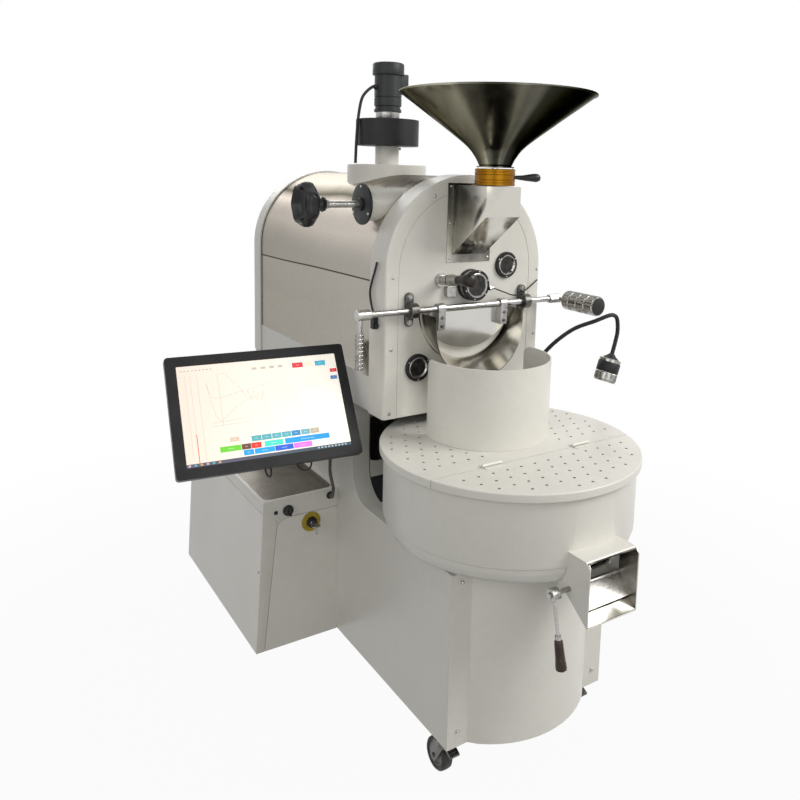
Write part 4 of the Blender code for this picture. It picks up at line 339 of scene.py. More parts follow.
@dataclass(frozen=True)
class ConeSteel(Finish):
    """Polished cone: streaks of reflected room that run from its rim to its neck."""

    centre: Point = (0.12678, -0.2585, 1.36)
    height: float = 0.18

    def material(self) -> bpy.types.Material:
        """Builds the material."""
        s = Shader(bpy.data.materials.new(self.name))
        x, y, z = s.parts(s.centred(self.centre))
        turn = s.node("ShaderNodeMath", {"operation": "ARCTAN2"}, {0: y, 1: x})
        drift = s.noise(s.place(), 4.0, 2.0, 0.4)
        around = (turn + math.pi) / (2 * math.pi) + (drift - 0.5) * 0.03
        streaks = s.ramp(around, list(self.streaks()))
        rise = s.level(z / self.height, 0.05, 0.95)
        shade = s.blend(rise, (0.86, 0.86, 0.84), (1.0, 1.0, 1.0))
        colour = s.node("ShaderNodeMix", {"data_type": "RGBA", "blend_type": "MULTIPLY"},
                        {0: 1.0, 6: streaks, 7: shade}, output=2)
        smudge = s.noise(s.place(), 30.0, 4.0, 0.6)
        return s.surface(Base_Color=colour, Metallic=1.0, Specular_Tint=(0.28, 0.28, 0.25),
                         Roughness=s.level(smudge, 0.3, 0.75, 0.14, 0.26),
                         Normal=s.bump(smudge, 0.0002, 0.2))

    @staticmethod
    def streaks() -> tuple[tuple[float, Colour], ...]:
        """The streaks' (place round the cone, colour) stops, from -X round by -Y."""
        levels = ((0.00, 0.22), (0.03, 0.34), (0.075, 0.38), (0.09, 0.15), (0.115, 0.09),
                  (0.132, 0.040), (0.156, 0.036), (0.170, 0.09), (0.182, 0.19), (0.196, 0.11),
                  (0.212, 0.11), (0.226, 0.034), (0.26, 0.022), (0.32, 0.022), (0.40, 0.026),
                  (0.46, 0.15), (0.50, 0.26), (0.56, 0.12), (0.62, 0.02), (0.70, 0.17),
                  (0.78, 0.02), (0.86, 0.14), (0.93, 0.27), (0.97, 0.22), (1.00, 0.22))
        return tuple((place, (v * 1.03, v, v * 0.80)) for place, v in levels)


@dataclass(frozen=True)
class CasingSteel(Finish):
    """Polished sheet over the drum: long reflections that follow its length."""

    centre: Point = (0.12678, 0.28, 1.118)

    def material(self) -> bpy.types.Material:
        """Builds the material."""
        s = Shader(bpy.data.materials.new(self.name))
        x, y, z = s.parts(s.centred(self.centre))
        wave = s.noise(s.centred(self.centre, scale=(1.0, 0.5, 1.0)), 3.5, 2.0, 0.4)
        turn = s.node("ShaderNodeMath", {"operation": "ARCTAN2"}, {0: z, 1: x})
        above = (turn + (wave - 0.5) * 0.35) / math.pi
        round_part = s.ramp(s.level(above, 0.0, 1.0), self.stops())
        edge = z + 0.028 + y * 0.012 + (wave - 0.5) * 0.012
        low = s.level(edge, -0.003, 0.003)
        flat_part = s.blend(s.noise(s.centred(self.centre, scale=(1.0, 0.3, 2.0)), 5.0, 2.0, 0.5),
                            (0.40, 0.38, 0.34), (0.48, 0.455, 0.41))
        colour = s.blend(low, flat_part, round_part)
        line = s.level(edge.maths("ABSOLUTE"), 0.0010, 0.0028)
        seam = s.level(y, 0.3560, 0.3572, 1.0, 0.0)
        colour = s.blend(line * seam, (0.07, 0.068, 0.06), colour)
        smudge = s.noise(s.place(), 16.0, 4.0, 0.62)
        return s.surface(Base_Color=colour, Metallic=1.0, Specular_Tint=(0.42, 0.41, 0.38),
                         Roughness=s.level(smudge, 0.3, 0.75, 0.24, 0.34),
                         Normal=s.bump(smudge, 0.0001, 0.06))

    @staticmethod
    def stops() -> list[tuple[float, Colour]]:
        """The (place, colour) stops from the right foot over the top to the left."""
        beige, grey, dark = (0.62, 0.57, 0.515), (0.42, 0.395, 0.36), (0.09, 0.088, 0.08)
        return [(0.0, grey), (0.18, beige), (0.34, dark), (0.42, (0.24, 0.25, 0.20)),
                (0.50, dark), (0.60, beige), (0.74, beige), (0.82, dark), (0.87, beige),
                (0.96, beige), (1.0, grey)]


@dataclass(frozen=True)
class BrushedSteel(Finish):
    """Brushed or turned metal with fine lines along one way."""

    colour: Colour = (0.50, 0.49, 0.47)
    shade: Colour = (0.26, 0.255, 0.245)
    stretch: Point = (1.0, 30.0, 1.0)
    roughness: float = 0.28

    def material(self) -> bpy.types.Material:
        """Builds the material."""
        s = Shader(bpy.data.materials.new(self.name))
        lines = s.noise(s.centred((0, 0, 0), scale=self.stretch), 90.0, 4.0, 0.65)
        stains = s.noise(s.place(), 12.0, 4.0, 0.6)
        colour = s.blend(s.level(lines * 0.6 + stains * 0.4, 0.34, 0.64), self.shade, self.colour)
        rough = s.level(lines, 0.3, 0.7, self.roughness - 0.06, self.roughness + 0.12)
        return s.surface(Base_Color=colour, Metallic=1.0, Roughness=rough,
                         Normal=s.bump(lines, 0.00004, 0.4))


@dataclass(frozen=True)
class Moulding(Finish):
    """Moulded plastic or rubber with a fine spark grain and rubbed patches."""

    colour: Colour
    shade: Colour
    roughness: float = 0.45
    grain: float = 900.0
    depth: float = 0.00008
    shine: float = 0.28

    def material(self) -> bpy.types.Material:
        """Builds the material."""
        s = Shader(bpy.data.materials.new(self.name))
        place = s.place()
        spark = s.noise(place, self.grain, 2.0, 0.5)
        rub = s.noise(place, 24.0, 4.0, 0.6)
        colour = s.blend(s.level(rub, 0.35, 0.68), self.shade, self.colour)
        rough = s.level(rub, 0.3, 0.7, self.roughness - 0.07, self.roughness + 0.1)
        return s.surface(Base_Color=colour, Roughness=rough, Specular_IOR_Level=self.shine,
                         Normal=s.bump(spark, self.depth, 0.5))


@dataclass(frozen=True)
class LitScreen(Finish):
    """Lit screen behind its glass, coloured by the picture's tiles."""

    glow: float = 0.42

    def material(self) -> bpy.types.Material:
        """Builds the material."""
        s = Shader(bpy.data.materials.new(self.name))
        tint = s.node("ShaderNodeVertexColor", {"layer_name": "tint"})
        smear = s.noise(s.place(), 22.0, 3.0, 0.5)
        rough = s.level(smear, 0.3, 0.7, 0.12, 0.26)
        return s.surface(Base_Color=tint, Roughness=rough, Emission_Color=tint,
                         Emission_Strength=self.glow, Coat_Weight=0.3, Coat_Roughness=0.1)


@dataclass(frozen=True)
class DarkGlass(Finish):
    """Smoked sight glass over a dark drum."""


    def material(self) -> bpy.types.Material:
        """Builds the material."""
        s = Shader(bpy.data.materials.new(self.name))
        smear = s.noise(s.place(), 60.0, 3.0, 0.5)
        colour = s.blend(s.level(smear, 0.35, 0.7), (0.012, 0.012, 0.013), (0.04, 0.035, 0.03))
        rough = s.level(smear, 0.3, 0.7, 0.05, 0.14)
        return s.surface(Base_Color=colour, Roughness=rough, Specular_IOR_Level=0.3, IOR=1.5)


WHITE = Coat("white_powder", "white_paint", (0.72, 0.705, 0.655), (0.665, 0.65, 0.60))
BLACK = Coat("black_paint", "black_paint", (0.014, 0.014, 0.015), (0.008, 0.008, 0.009), 0.46,
             coat=0.0, shine=0.3)
MOTOR_GREY = Coat("motor_grey", "grey_paint", (0.026, 0.030, 0.031), (0.020, 0.023, 0.024), 0.42,
                  0.0003, 260.0, coat=0.0, shine=0.3)
CONE = ConeSteel("cone_steel", "polished_steel")
CASING = CasingSteel("casing_steel", "polished_steel")
CHROME = BrushedSteel("chrome", "polished_steel", (0.50, 0.49, 0.465), (0.15, 0.147, 0.138),
                      (6, 6, 1), 0.14)
DARK_STEEL = BrushedSteel("dark_steel", "black_paint", (0.16, 0.155, 0.145), (0.07, 0.068, 0.062),
                          (1, 8, 1), 0.3)
TRAY = BrushedSteel("tray_steel", "brushed_steel", (0.19, 0.172, 0.145), (0.10, 0.09, 0.075),
                    (1, 14, 1), 0.3)
CHUTE = PolishedSteel("chute_steel", "polished_steel", (0.62, 0.60, 0.54), (0.075, 0.072, 0.062),
                      (0.12678, -0.22, 1.24), (1.6, 1.6, 0.8), 0.10)
SPOUT = PolishedSteel("spout_steel", "polished_steel", (0.66, 0.63, 0.56), (0.11, 0.10, 0.08),
                      (0.12678, -0.2, 0.95), (3.0, 3.0, 3.0), 0.12)
DOOR_STEEL = PolishedSteel("door_steel", "polished_steel", (0.80, 0.79, 0.76), (0.62, 0.61, 0.58))
# Stainless lining of the outlet chute; its dark colours are painted shade inside the chute.
SHADED_LINER = PolishedSteel("shaded_liner_steel", "polished_steel", (0.42, 0.40, 0.36), (0.035, 0.035, 0.03),
                      (0.12678, -0.66, 0.52), (5.0, 5.0, 5.0), 0.16)
TYRE = Moulding("tyre_rubber", "grey_rubber", (0.022, 0.022, 0.022), (0.036, 0.035, 0.033), 0.5)
HUB = Moulding("hub_plastic", "black_plastic", (0.26, 0.25, 0.21), (0.18, 0.17, 0.145), 0.4)
# Painted shade for the step behind the bin, between the bin and the pedestal.
STEP_SHADE = Coat("step_shade_paint", "black_paint", (0.032, 0.036, 0.040), (0.022, 0.025, 0.028), 0.5,
             coat=0.0, shine=0.3)
YELLOW = Moulding("yellow_plastic", "black_plastic", (0.42, 0.32, 0.03), (0.32, 0.24, 0.02), 0.35)
CASE = Moulding("screen_case", "black_plastic", (0.014, 0.014, 0.015), (0.010, 0.010, 0.011), 0.4,
                1300.0, 0.00005)
SCREEN = LitScreen("lit_screen", "glass")
BAKELITE = Moulding("black_bakelite", "black_plastic", (0.012, 0.012, 0.013),
                    (0.020, 0.020, 0.021), 0.22, 60.0)
BRUSHED = BrushedSteel("brushed_steel", "brushed_steel")
GOLD = BrushedSteel("gold_anodised", "gold_anodised", (0.27, 0.125, 0.008), (0.18, 0.075, 0.005),
                    (1, 1, 20), 0.26)
PLASTIC = Moulding("black_plastic", "black_plastic", (0.018, 0.018, 0.019), (0.010, 0.010, 0.011))
EBONY = Moulding("ebony_grip", "brown_grip", (0.022, 0.013, 0.011), (0.012, 0.008, 0.007), 0.28)
BROWN = Moulding("brown_grip", "brown_grip", (0.050, 0.026, 0.019), (0.030, 0.016, 0.012), 0.3)
GREY_RUBBER = Moulding("grey_rubber", "black_rubber", (0.13, 0.13, 0.12), (0.07, 0.07, 0.065), 0.6,
                       500.0)
BLACK_RUBBER = Moulding("black_rubber", "black_rubber", (0.016, 0.016, 0.016),
                        (0.028, 0.028, 0.028), 0.6)
GLASS = DarkGlass("dark_glass", "glass")

_made: dict[str, bpy.types.Material] = {}


def material_of(finish: Finish) -> bpy.types.Material:
    """A finish's material, built once."""
    if finish.name not in _made:
        _made[finish.name] = finish.material()
    return _made[finish.name]


def paint(finish: Finish, *nodes: str) -> None:
    """Gives CAD nodes a finish."""
    for node in nodes:
        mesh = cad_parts[node].data
        mesh.materials.clear()
        mesh.materials.append(material_of(finish))
    log.info("painted %s: %s", finish.name, ", ".join(nodes))


def eased(points: list[tuple[float, ...]], fill: int = 6) -> list[Vector]:
    """A smooth line through rough points.

    Args:
        points: two or more points, in two or three numbers each.
        fill: how many steps each stretch gets.

    Returns:
        The smooth line, the given points among it.
    """
    rough = [Vector(p) for p in points]
    ends = [2 * rough[0] - rough[1], *rough, 2 * rough[-1] - rough[-2]]
    line = []
    for k in range(1, len(ends) - 2):
        a, b, c, d = ends[k - 1:k + 3]
        for step in range(fill):
            t = step / fill
            line.append((2 * b + (c - a) * t + (2 * a - 5 * b + 4 * c - d) * t * t
                         + (3 * b - a - 3 * c + d) * t ** 3) / 2)
    return [*line, rough[-1]]


def bow(centre: tuple[float, float], radius: float, start: float, end: float,
        steps: int = 24) -> list[tuple[float, float]]:
    """Points along an arc, from one angle in degrees to another."""
    angles = [math.radians(start + (end - start) * k / steps) for k in range(steps + 1)]
    return [(centre[0] + radius * math.cos(a), centre[1] + radius * math.sin(a)) for a in angles]


def round_spots(radius: float, count: int, start: float = 0.0) -> list[tuple[float, float]]:
    """Evenly spaced points on a circle, from a first angle in degrees."""
    angles = [math.radians(start + 360 * k / count) for k in range(count)]
    return [(radius * math.cos(a), radius * math.sin(a)) for a in angles]


def soft_corners(low: tuple[float, float], high: tuple[float, float], corner: float,
                 steps: int = 6) -> list[tuple[float, float]]:
    """A rectangle's outline with round corners."""
    spots = ((high[0] - corner, low[1] + corner, -90), (high[0] - corner, high[1] - corner, 0),
             (low[0] + corner, high[1] - corner, 90), (low[0] + corner, low[1] + corner, 180))
    return [p for a, b, turn in spots for p in bow((a, b), corner, turn, turn + 90, steps)]


def middle(node: str) -> Vector:
    """The middle of a CAD node's box, in the machine's own frame."""
    spots = [v.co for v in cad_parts[node].data.vertices]
    ends = [(min(p[i] for p in spots), max(p[i] for p in spots)) for i in range(3)]
    return Vector([(low + high) / 2 for low, high in ends]) - SHIFT


class Form:
    """A mesh in the making, in the machine's own frame: x across, y back and z up.

    That frame has its origin on the floor, under the middle of the pedestal's front.
    """

    def __init__(self) -> None:
        """Starts empty."""
        self.bm = bmesh.new()

    def turned(self, profile: list[tuple[float, float]], centre: Point, axis: Axis = Axis.Z,
               steps: int = 64) -> "Form":
        """Turns an outline about an axis.

        Args:
            profile: (radius, height) pairs round the outline.
            centre: a point on the axis.
            axis: which way the axis runs.
            steps: faces round the turn.

        Returns:
            This form.
        """
        along = axis.value
        out = Axis.Y.value if axis is Axis.X else Axis.X.value
        hub = Vector(centre)
        hub -= along * hub.dot(along)
        verts = [self.bm.verts.new(hub + out * r + along * h) for r, h in profile]
        pairs = list(zip(verts, verts[1:]))
        if profile[0][0] > 0 or profile[-1][0] > 0:
            pairs.append((verts[-1], verts[0]))
        edges = [self.bm.edges.new(pair) for pair in pairs]
        bmesh.ops.spin(self.bm, geom=verts + edges, cent=hub, axis=along, angle=2 * math.pi,
                       steps=steps, use_merge=True)
        return self

    def drawn(self, outline: list[Point], push: Point) -> "Form":
        """Draws a flat outline out into a solid.

        Args:
            outline: the face's corners.
            push: how far and which way it is drawn.

        Returns:
            This form.
        """
        face = self.bm.faces.new([self.bm.verts.new(p) for p in outline])
        made = bmesh.ops.extrude_face_region(self.bm, geom=[face], use_keep_orig=True)
        moved = [v for v in made["geom"] if isinstance(v, bmesh.types.BMVert)]
        bmesh.ops.translate(self.bm, vec=push, verts=moved)
        return self

    def plate(self, outline: list[tuple[float, float]], axis: Axis, low: float,
              high: float) -> "Form":
        """Draws an outline, given in the two other axes, from one height to another."""
        order = {Axis.X: lambda a, b: (low, a, b), Axis.Y: lambda a, b: (a, low, b),
                 Axis.Z: lambda a, b: (a, b, low)}[axis]
        return self.drawn([order(a, b) for a, b in outline], axis.value * (high - low))

    def block(self, low: Point, high: Point) -> "Form":
        """A box between two corners."""
        corners = [(low[0], low[1]), (high[0], low[1]), (high[0], high[1]), (low[0], high[1])]
        return self.plate(corners, Axis.Z, low[2], high[2])

    def bar(self, centre: Point, axis: Axis, radius: float, low: float, high: float,
            steps: int = 32, chamfer: float = 0.0006) -> "Form":
        """A round bar with broken edges.

        Args:
            centre: a point on its axis.
            axis: which way it runs.
            radius: its radius.
            low: its lower end along the axis.
            high: its upper end.
            steps: faces round it.
            chamfer: how much its edges are broken.

        Returns:
            This form.
        """
        c = min(chamfer, radius / 3, abs(high - low) / 3)
        return self.turned([(0, low), (radius - c, low), (radius, low + c), (radius, high - c),
                            (radius - c, high), (0, high)], centre, axis, steps)

    def screw(self, centre: Point, way: Point, radius: float = 0.0035,
              height: float = 0.0022) -> "Form":
        """A pan-head screw on a face.

        Args:
            centre: where its head meets the face.
            way: which way the head points.
            radius: the head's radius.
            height: how far the head stands proud.

        Returns:
            This form.
        """
        turn = Vector(way).to_track_quat("Z", "Y").to_matrix().to_4x4()
        head = Matrix.Translation(Vector(centre)) @ turn
        flat = Matrix.Diagonal((1.0, 1.0, height / radius, 1.0))
        bmesh.ops.create_uvsphere(self.bm, u_segments=16, v_segments=10, radius=radius,
                                  matrix=head @ flat)
        return self

    def bridged(self, before: list | None, ring: list) -> list:
        """Skins from the ring of edges before to a ring of points, and returns its edges."""
        edges = list({e for v in ring for e in v.link_edges})
        if before:
            bmesh.ops.bridge_loops(self.bm, edges=before + edges)
        return edges

    def tube(self, path: list[Vector], radii: float | list[float], steps: int = 16) -> "Form":
        """A round tube along a path.

        Args:
            path: its centreline.
            radii: one radius, or one for each point.
            steps: faces round it.

        Returns:
            This form.
        """
        sizes = radii if isinstance(radii, list) else [radii] * len(path)
        side = None
        before = None
        for k, point in enumerate(path):
            ahead = (path[min(k + 1, len(path) - 1)] - path[max(k - 1, 0)]).normalized()
            side = ahead.orthogonal() if side is None else side - ahead * side.dot(ahead)
            side.normalize()
            turn = Matrix((side, ahead.cross(side), ahead)).transposed().to_4x4()
            ring = bmesh.ops.create_circle(self.bm, radius=sizes[k], segments=steps,
                                           cap_ends=k in (0, len(path) - 1),
                                           matrix=Matrix.Translation(point) @ turn)["verts"]
            before = self.bridged(before, ring)
        return self

    def knurled(self, centre: Point, axis: Axis, radius: float, low: float, high: float,
                rows: int, columns: int, depth: float) -> "Form":
        """A knurled band: rings of points that stand out by turns.

        Args:
            centre: a point on its axis.
            axis: which way it runs.
            radius: its outer radius.
            low: its lower end along the axis.
            high: its upper end.
            rows: how many rows of points it has.
            columns: how many points go round it.
            depth: how deep the knurl is cut.

        Returns:
            This form.
        """
        along = axis.value
        hub = Vector(centre)
        hub -= along * hub.dot(along)
        turn = along.to_track_quat("Z", "Y").to_matrix().to_4x4()
        before = None
        for k in range(rows * 2 + 1):
            point = hub + along * (low + (high - low) * k / (rows * 2))
            ring = bmesh.ops.create_circle(self.bm, radius=radius, segments=columns * 2,
                                           cap_ends=k in (0, rows * 2),
                                           matrix=Matrix.Translation(point) @ turn)["verts"]
            end = k in (0, rows * 2)
            for n, vert in enumerate(ring):
                inward = (vert.co - point).normalized()
                vert.co -= inward * depth * (1.3 if end else float((n + k) % 2))
            before = self.bridged(before, ring)
        return self

    def lofted(self, loops: list[list[Vector]]) -> "Form":
        """Skins closed loops one after another and closes both ends."""
        before = None
        for k, loop in enumerate(loops):
            verts = [self.bm.verts.new(p) for p in loop]
            edges = [self.bm.edges.new(p) for p in zip(verts, verts[1:] + verts[:1])]
            if k in (0, len(loops) - 1):
                self.bm.faces.new(verts)
            if before:
                bmesh.ops.bridge_loops(self.bm, edges=before + edges)
            before = edges
        return self

    def arched(self, profile: list[tuple[float, float]], low: float, crown: float = 1.118,
               steps: int = 64) -> "Form":
        """Carries a section up one side, over a half circle and down the other.

        Args:
            profile: (radius, y) pairs round the section.
            low: the height of both feet.
            crown: the height of the half circle's centre.
            steps: faces over the half circle.

        Returns:
            This form.
        """
        verts = [self.bm.verts.new((r, y, low)) for r, y in profile]
        edges = [self.bm.edges.new(p) for p in zip(verts, verts[1:] + verts[:1])]
        self.bm.faces.new(verts)
        up = (0.0, 0.0, crown - low)
        for kind in ("up", "over", "down"):
            if kind == "over":
                made = bmesh.ops.spin(self.bm, geom=edges, cent=(0, 0, crown), axis=(0, -1, 0),
                                      angle=math.pi, steps=steps)["geom_last"]
            else:
                made = bmesh.ops.extrude_edge_only(self.bm, edges=edges)["geom"]
                moved = [v for v in made if isinstance(v, bmesh.types.BMVert)]
                shift = up if kind == "up" else (0.0, 0.0, low - crown)
                bmesh.ops.translate(self.bm, vec=shift, verts=moved)
            edges = [e for e in made if isinstance(e, bmesh.types.BMEdge)
                     and (kind == "over" or all(v in moved for v in e.verts))]
        bmesh.ops.edgeloop_fill(self.bm, edges=edges)
        return self

    def copied(self, node: str) -> "Form":
        """Adds a merged copy of a CAD node's mesh, its flat faces made whole."""
        work = bmesh.new()
        work.from_mesh(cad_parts[node].data)
        bmesh.ops.remove_doubles(work, verts=work.verts, dist=1e-5)
        bmesh.ops.dissolve_limit(work, angle_limit=math.radians(1.0), verts=work.verts,
                                 edges=work.edges)
        bmesh.ops.translate(work, vec=-SHIFT, verts=work.verts)
        mesh = bpy.data.meshes.new("copy")
        work.to_mesh(mesh)
        work.free()
        self.bm.from_mesh(mesh)
        bpy.data.meshes.remove(mesh)
        return self

    def closed(self) -> "Form":
        """Merges doubled points, drops loose edges and turns every face outwards."""
        bmesh.ops.remove_doubles(self.bm, verts=self.bm.verts, dist=1e-6)
        loose = [e for e in self.bm.edges if not e.link_faces]
        bmesh.ops.delete(self.bm, geom=loose, context="EDGES")
        bmesh.ops.recalc_face_normals(self.bm, faces=self.bm.faces)
        return self

    def less(self, *others: "Form") -> "Form":
        """Cuts other forms out of this one."""
        made = []
        for form in (self, *others):
            form.closed()
            mesh = bpy.data.meshes.new("step")
            form.bm.to_mesh(mesh)
            form.bm.free()
            item = bpy.data.objects.new("step", mesh)
            bpy.context.scene.collection.objects.link(item)
            made.append(item)
        for cutter in made[1:]:
            step = made[0].modifiers.new("cut", "BOOLEAN")
            step.operation = "DIFFERENCE"
            step.solver = "EXACT"
            step.object = cutter
        graph = bpy.context.evaluated_depsgraph_get()
        whole = bpy.data.meshes.new_from_object(made[0].evaluated_get(graph))
        self.bm = bmesh.new()
        self.bm.from_mesh(whole)
        for item in made:
            bpy.data.objects.remove(item, do_unlink=True)
        bpy.data.meshes.remove(whole)
        return self

    def placed(self, matrix: Matrix) -> "Form":
        """Moves the whole form by a matrix."""
        bmesh.ops.transform(self.bm, matrix=matrix, verts=self.bm.verts)
        return self

    def piece(self, name: str, finish: Finish, *nodes: str, body: str = "frame",
              slot: str = "", bevel: float = 0.0, angle: float = 35.0,
              segments: int = 2) -> bpy.types.Object:
        """Ends the form as a named piece of the roaster.

        Args:
            name: the piece's name.
            finish: its finish.
            nodes: the CAD nodes that it stands for.
            body: the CAD body that it rides on.
            slot: the record's material slot, if it isn't the finish's own; not used.
            bevel: how much its edges are broken, in metres.
            angle: the angle in degrees above which an edge is sharp.
            segments: faces across a broken edge.

        Returns:
            The piece.
        """
        self.closed()
        bmesh.ops.translate(self.bm, vec=SHIFT, verts=self.bm.verts)
        for face in self.bm.faces:
            face.smooth = True
        mesh = bpy.data.meshes.new(name)
        self.bm.to_mesh(mesh)
        self.bm.free()
        mesh.set_sharp_from_angle(angle=math.radians(angle))
        mesh.materials.append(material_of(finish))
        item = bpy.data.objects.new(name, mesh)
        bpy.context.scene.collection.objects.link(item)
        if bevel:
            edge = item.modifiers.new("edges", "BEVEL")
            edge.width = bevel
            edge.segments = segments
            edge.limit_method = "ANGLE"
            edge.angle_limit = math.radians(angle)
            edge.harden_normals = True
            edge.mark_sharp = False
        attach(item, body)
        if nodes:
            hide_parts(*nodes)
        log.info("made %s on %s, standing for %s", name, body, ", ".join(nodes) or "nothing")
        return item


@dataclass
class Hopper:
    """Polished cone over the valve, with a rolled rim."""

    feed_y: float = 0.200
    line: tuple[tuple[float, float], ...] = ((0.0365, 1.3724), (0.0488, 1.3959), (0.0719, 1.4225),
                                             (0.1396, 1.4740), (0.2260, 1.5370))
    sheet: float = 0.0018
    rim: float = 0.0028

    def build(self) -> None:
        """Builds the cone."""
        smooth = eased(list(self.line), 8)
        centre = (0.0, self.feed_y, 0.0)
        outside = [tuple(p) for p in smooth]
        inside = [(p[0] - self.sheet, p[1] + self.sheet * 0.4) for p in smooth]
        low = self.line[0][1] - 0.0006
        foot = [(0.0345, low), (0.0440, low), (0.0440, low + 0.0022), (0.0372, low + 0.0030)]
        rim = bow((self.line[-1][0], self.line[-1][1] + 0.0018), self.rim, -120, 150, 10)
        profile = foot + outside[1:-1] + rim + inside[::-1][1:]
        form = Form().turned(profile, centre, steps=120)
        form.piece("hopper_cone", CONE, "hopper", angle=28)


@dataclass
class CoolingBin:
    """Cooling bin: tub, split lid with its air holes and hinges, and the guard collar."""

    centre: Point = (0.0, 0.109, 0.0)
    radius: float = 0.294
    lid_radius: float = 0.304
    lid_top: float = 0.7355
    lid_sheet: float = 0.0012
    lip: float = 0.018
    seam_y: float = 0.006
    gap: float = 0.0008
    hole: float = 0.0036
    pitch: float = 0.038
    row: float = 0.0345
    guard_y: float = 0.201
    guard_radius: float = 0.152
    guard_top: float = 0.924

    def tub(self) -> None:
        """Turns the tub: straight wall, bowl and foot."""
        bowl = [(0.2908, 0.5690), (0.2875, 0.5530), (0.2780, 0.5370), (0.2520, 0.5215),
                (0.2150, 0.5133)]
        outside = [(self.radius, 0.5735), (self.radius - 0.0008, 0.5712),
                   *[tuple(p) for p in eased(bowl, 6)]]
        inside = [(r - 0.0025, z + 0.0022) for r, z in outside]
        top = self.lid_top - 0.0034
        profile = [(self.radius - 0.0025, top), (self.radius, top), *outside, (0.175, 0.5133),
                   (0.175, 0.5158), *inside[::-1]]
        form = Form().turned(profile, self.centre, steps=144).less(self.port())
        form.piece("bin_bowl", WHITE, "bin_tub", angle=22)
        liner = Form().turned([(0.2900, 0.578), (0.2912, 0.578), (0.2912, 0.728), (0.2900, 0.728)],
                              self.centre, steps=96).less(self.port())
        liner.piece("bin_liner", DARK_STEEL, slot="brushed_steel")

    @staticmethod
    def port() -> Form:
        """The discharge port's room."""
        return Form().block((-0.058, -0.24, 0.540), (0.058, -0.04, 0.598))

    def lid(self) -> Form:
        """Turns the whole lid."""
        low, r, t = self.lid_top - self.lip, self.lid_radius, self.lid_sheet
        inside = self.radius + 0.0006
        edge = bow((r - 0.003, self.lid_top - 0.003), 0.003, 0, 90, 5)
        profile = [(0, self.lid_top - t), (inside, self.lid_top - t), (inside, low),
                   (r - 0.0006, low), (r, low + 0.0006), *edge, (0, self.lid_top)]
        return Form().turned(profile, self.centre, steps=144)

    def holes(self, front: bool) -> Form:
        """Rods where the lid's air holes go, on one side of the seam.

        Args:
            front: true for the flap, false for the rear lid.

        Returns:
            The rods as one cutter.
        """
        form = Form()
        low, high = self.lid_top - 0.02, self.lid_top + 0.02
        rows = range(0, 6) if front else range(0, 9)
        for k in rows:
            y = self.seam_y - 0.034 - k * self.row if front else 0.0615 + k * self.row
            shift = 0.5 if k % 2 else 0.0
            for n in range(-8, 9):
                x = (n + shift) * self.pitch
                reach = math.hypot(x, y - self.centre[1])
                if reach > self.lid_radius - 0.020:
                    continue
                if not front and math.hypot(x, y - self.guard_y) < self.guard_radius + 0.012:
                    continue
                made = bmesh.ops.create_circle(form.bm, radius=self.hole, segments=10,
                                               cap_ends=True,
                                               matrix=Matrix.Translation((x, y, low)))
                face = made["verts"][0].link_faces[0]
                grown = bmesh.ops.extrude_face_region(form.bm, geom=[face], use_keep_orig=True)
                moved = [v for v in grown["geom"] if isinstance(v, bmesh.types.BMVert)]
                bmesh.ops.translate(form.bm, vec=(0, 0, high - low), verts=moved)
        return form

    def hinge(self, x: float) -> Form:
        """One small strap hinge over the seam."""
        z = self.lid_top + 0.0045
        form = Form().bar((0, self.seam_y, z), Axis.X, 0.0036, x - 0.026, x + 0.026, 16)
        for side in (-1, 1):
            near, far = sorted((self.seam_y + side * 0.0035, self.seam_y + side * 0.0145))
            form.plate(soft_corners((x - 0.024, near), (x + 0.024, far), 0.002), Axis.Z,
                       self.lid_top + 0.0001, self.lid_top + 0.0018)
        return form

    def lids(self) -> None:
        """Splits the lid at the seam, opens it and adds the hinges."""
        wide, low, high = 0.7, self.lid_top - 0.1, self.lid_top + 0.1
        front_half = Form().block((-wide, -wide, low), (wide, self.seam_y + self.gap, high))
        rear_half = Form().block((-wide, self.seam_y - self.gap, low), (wide, wide, high))
        window = Form().bar((0, self.guard_y, 0), Axis.Z, 0.136, low, high, 96)
        rear = self.lid().less(front_half, window, self.holes(False))
        rear.piece("bin_lid", WHITE, "rear_lid", angle=30)
        flap = self.lid().less(rear_half, self.holes(True))
        flap.piece("bin_flap", WHITE, "front_lid_flap", body="front_lid", angle=30)
        for name, x in (("left", -0.130), ("right", 0.130)):
            hinge = self.hinge(x)
            hinge.piece(f"flap_hinge_{name}", WHITE, bevel=0.0003)

    def guard(self) -> None:
        """Bends the guard collar, its top corners rounded."""
        spots = bow((0, self.guard_y), self.guard_radius, 180 - 14.9, 360 + 14.9, 96)
        inner = bow((0, self.guard_y), self.guard_radius - 0.003, 360 + 14.9, 180 - 14.9, 96)
        low = self.lid_top + 0.0003
        form = Form().plate(spots + inner, Axis.Z, low, self.guard_top)
        y, z, c = 0.240, self.guard_top, 0.022
        for side in (-1, 1):
            corner = ([(y + 0.004, z + 0.004), (y + 0.004, z - c), (y, z - c)]
                      + bow((y - c, z - c), c, 0, 90, 10)[1:] + [(y - c, z + 0.004)])
            ends = sorted((side * 0.11, side * 0.17))
            form = form.less(Form().plate(corner, Axis.X, *ends))
        form.piece("guard_wall", WHITE, "guard_collar", bevel=0.0007, angle=50)

    def build(self) -> None:
        """Builds the whole bin."""
        self.tub()
        self.lids()
        self.guard()


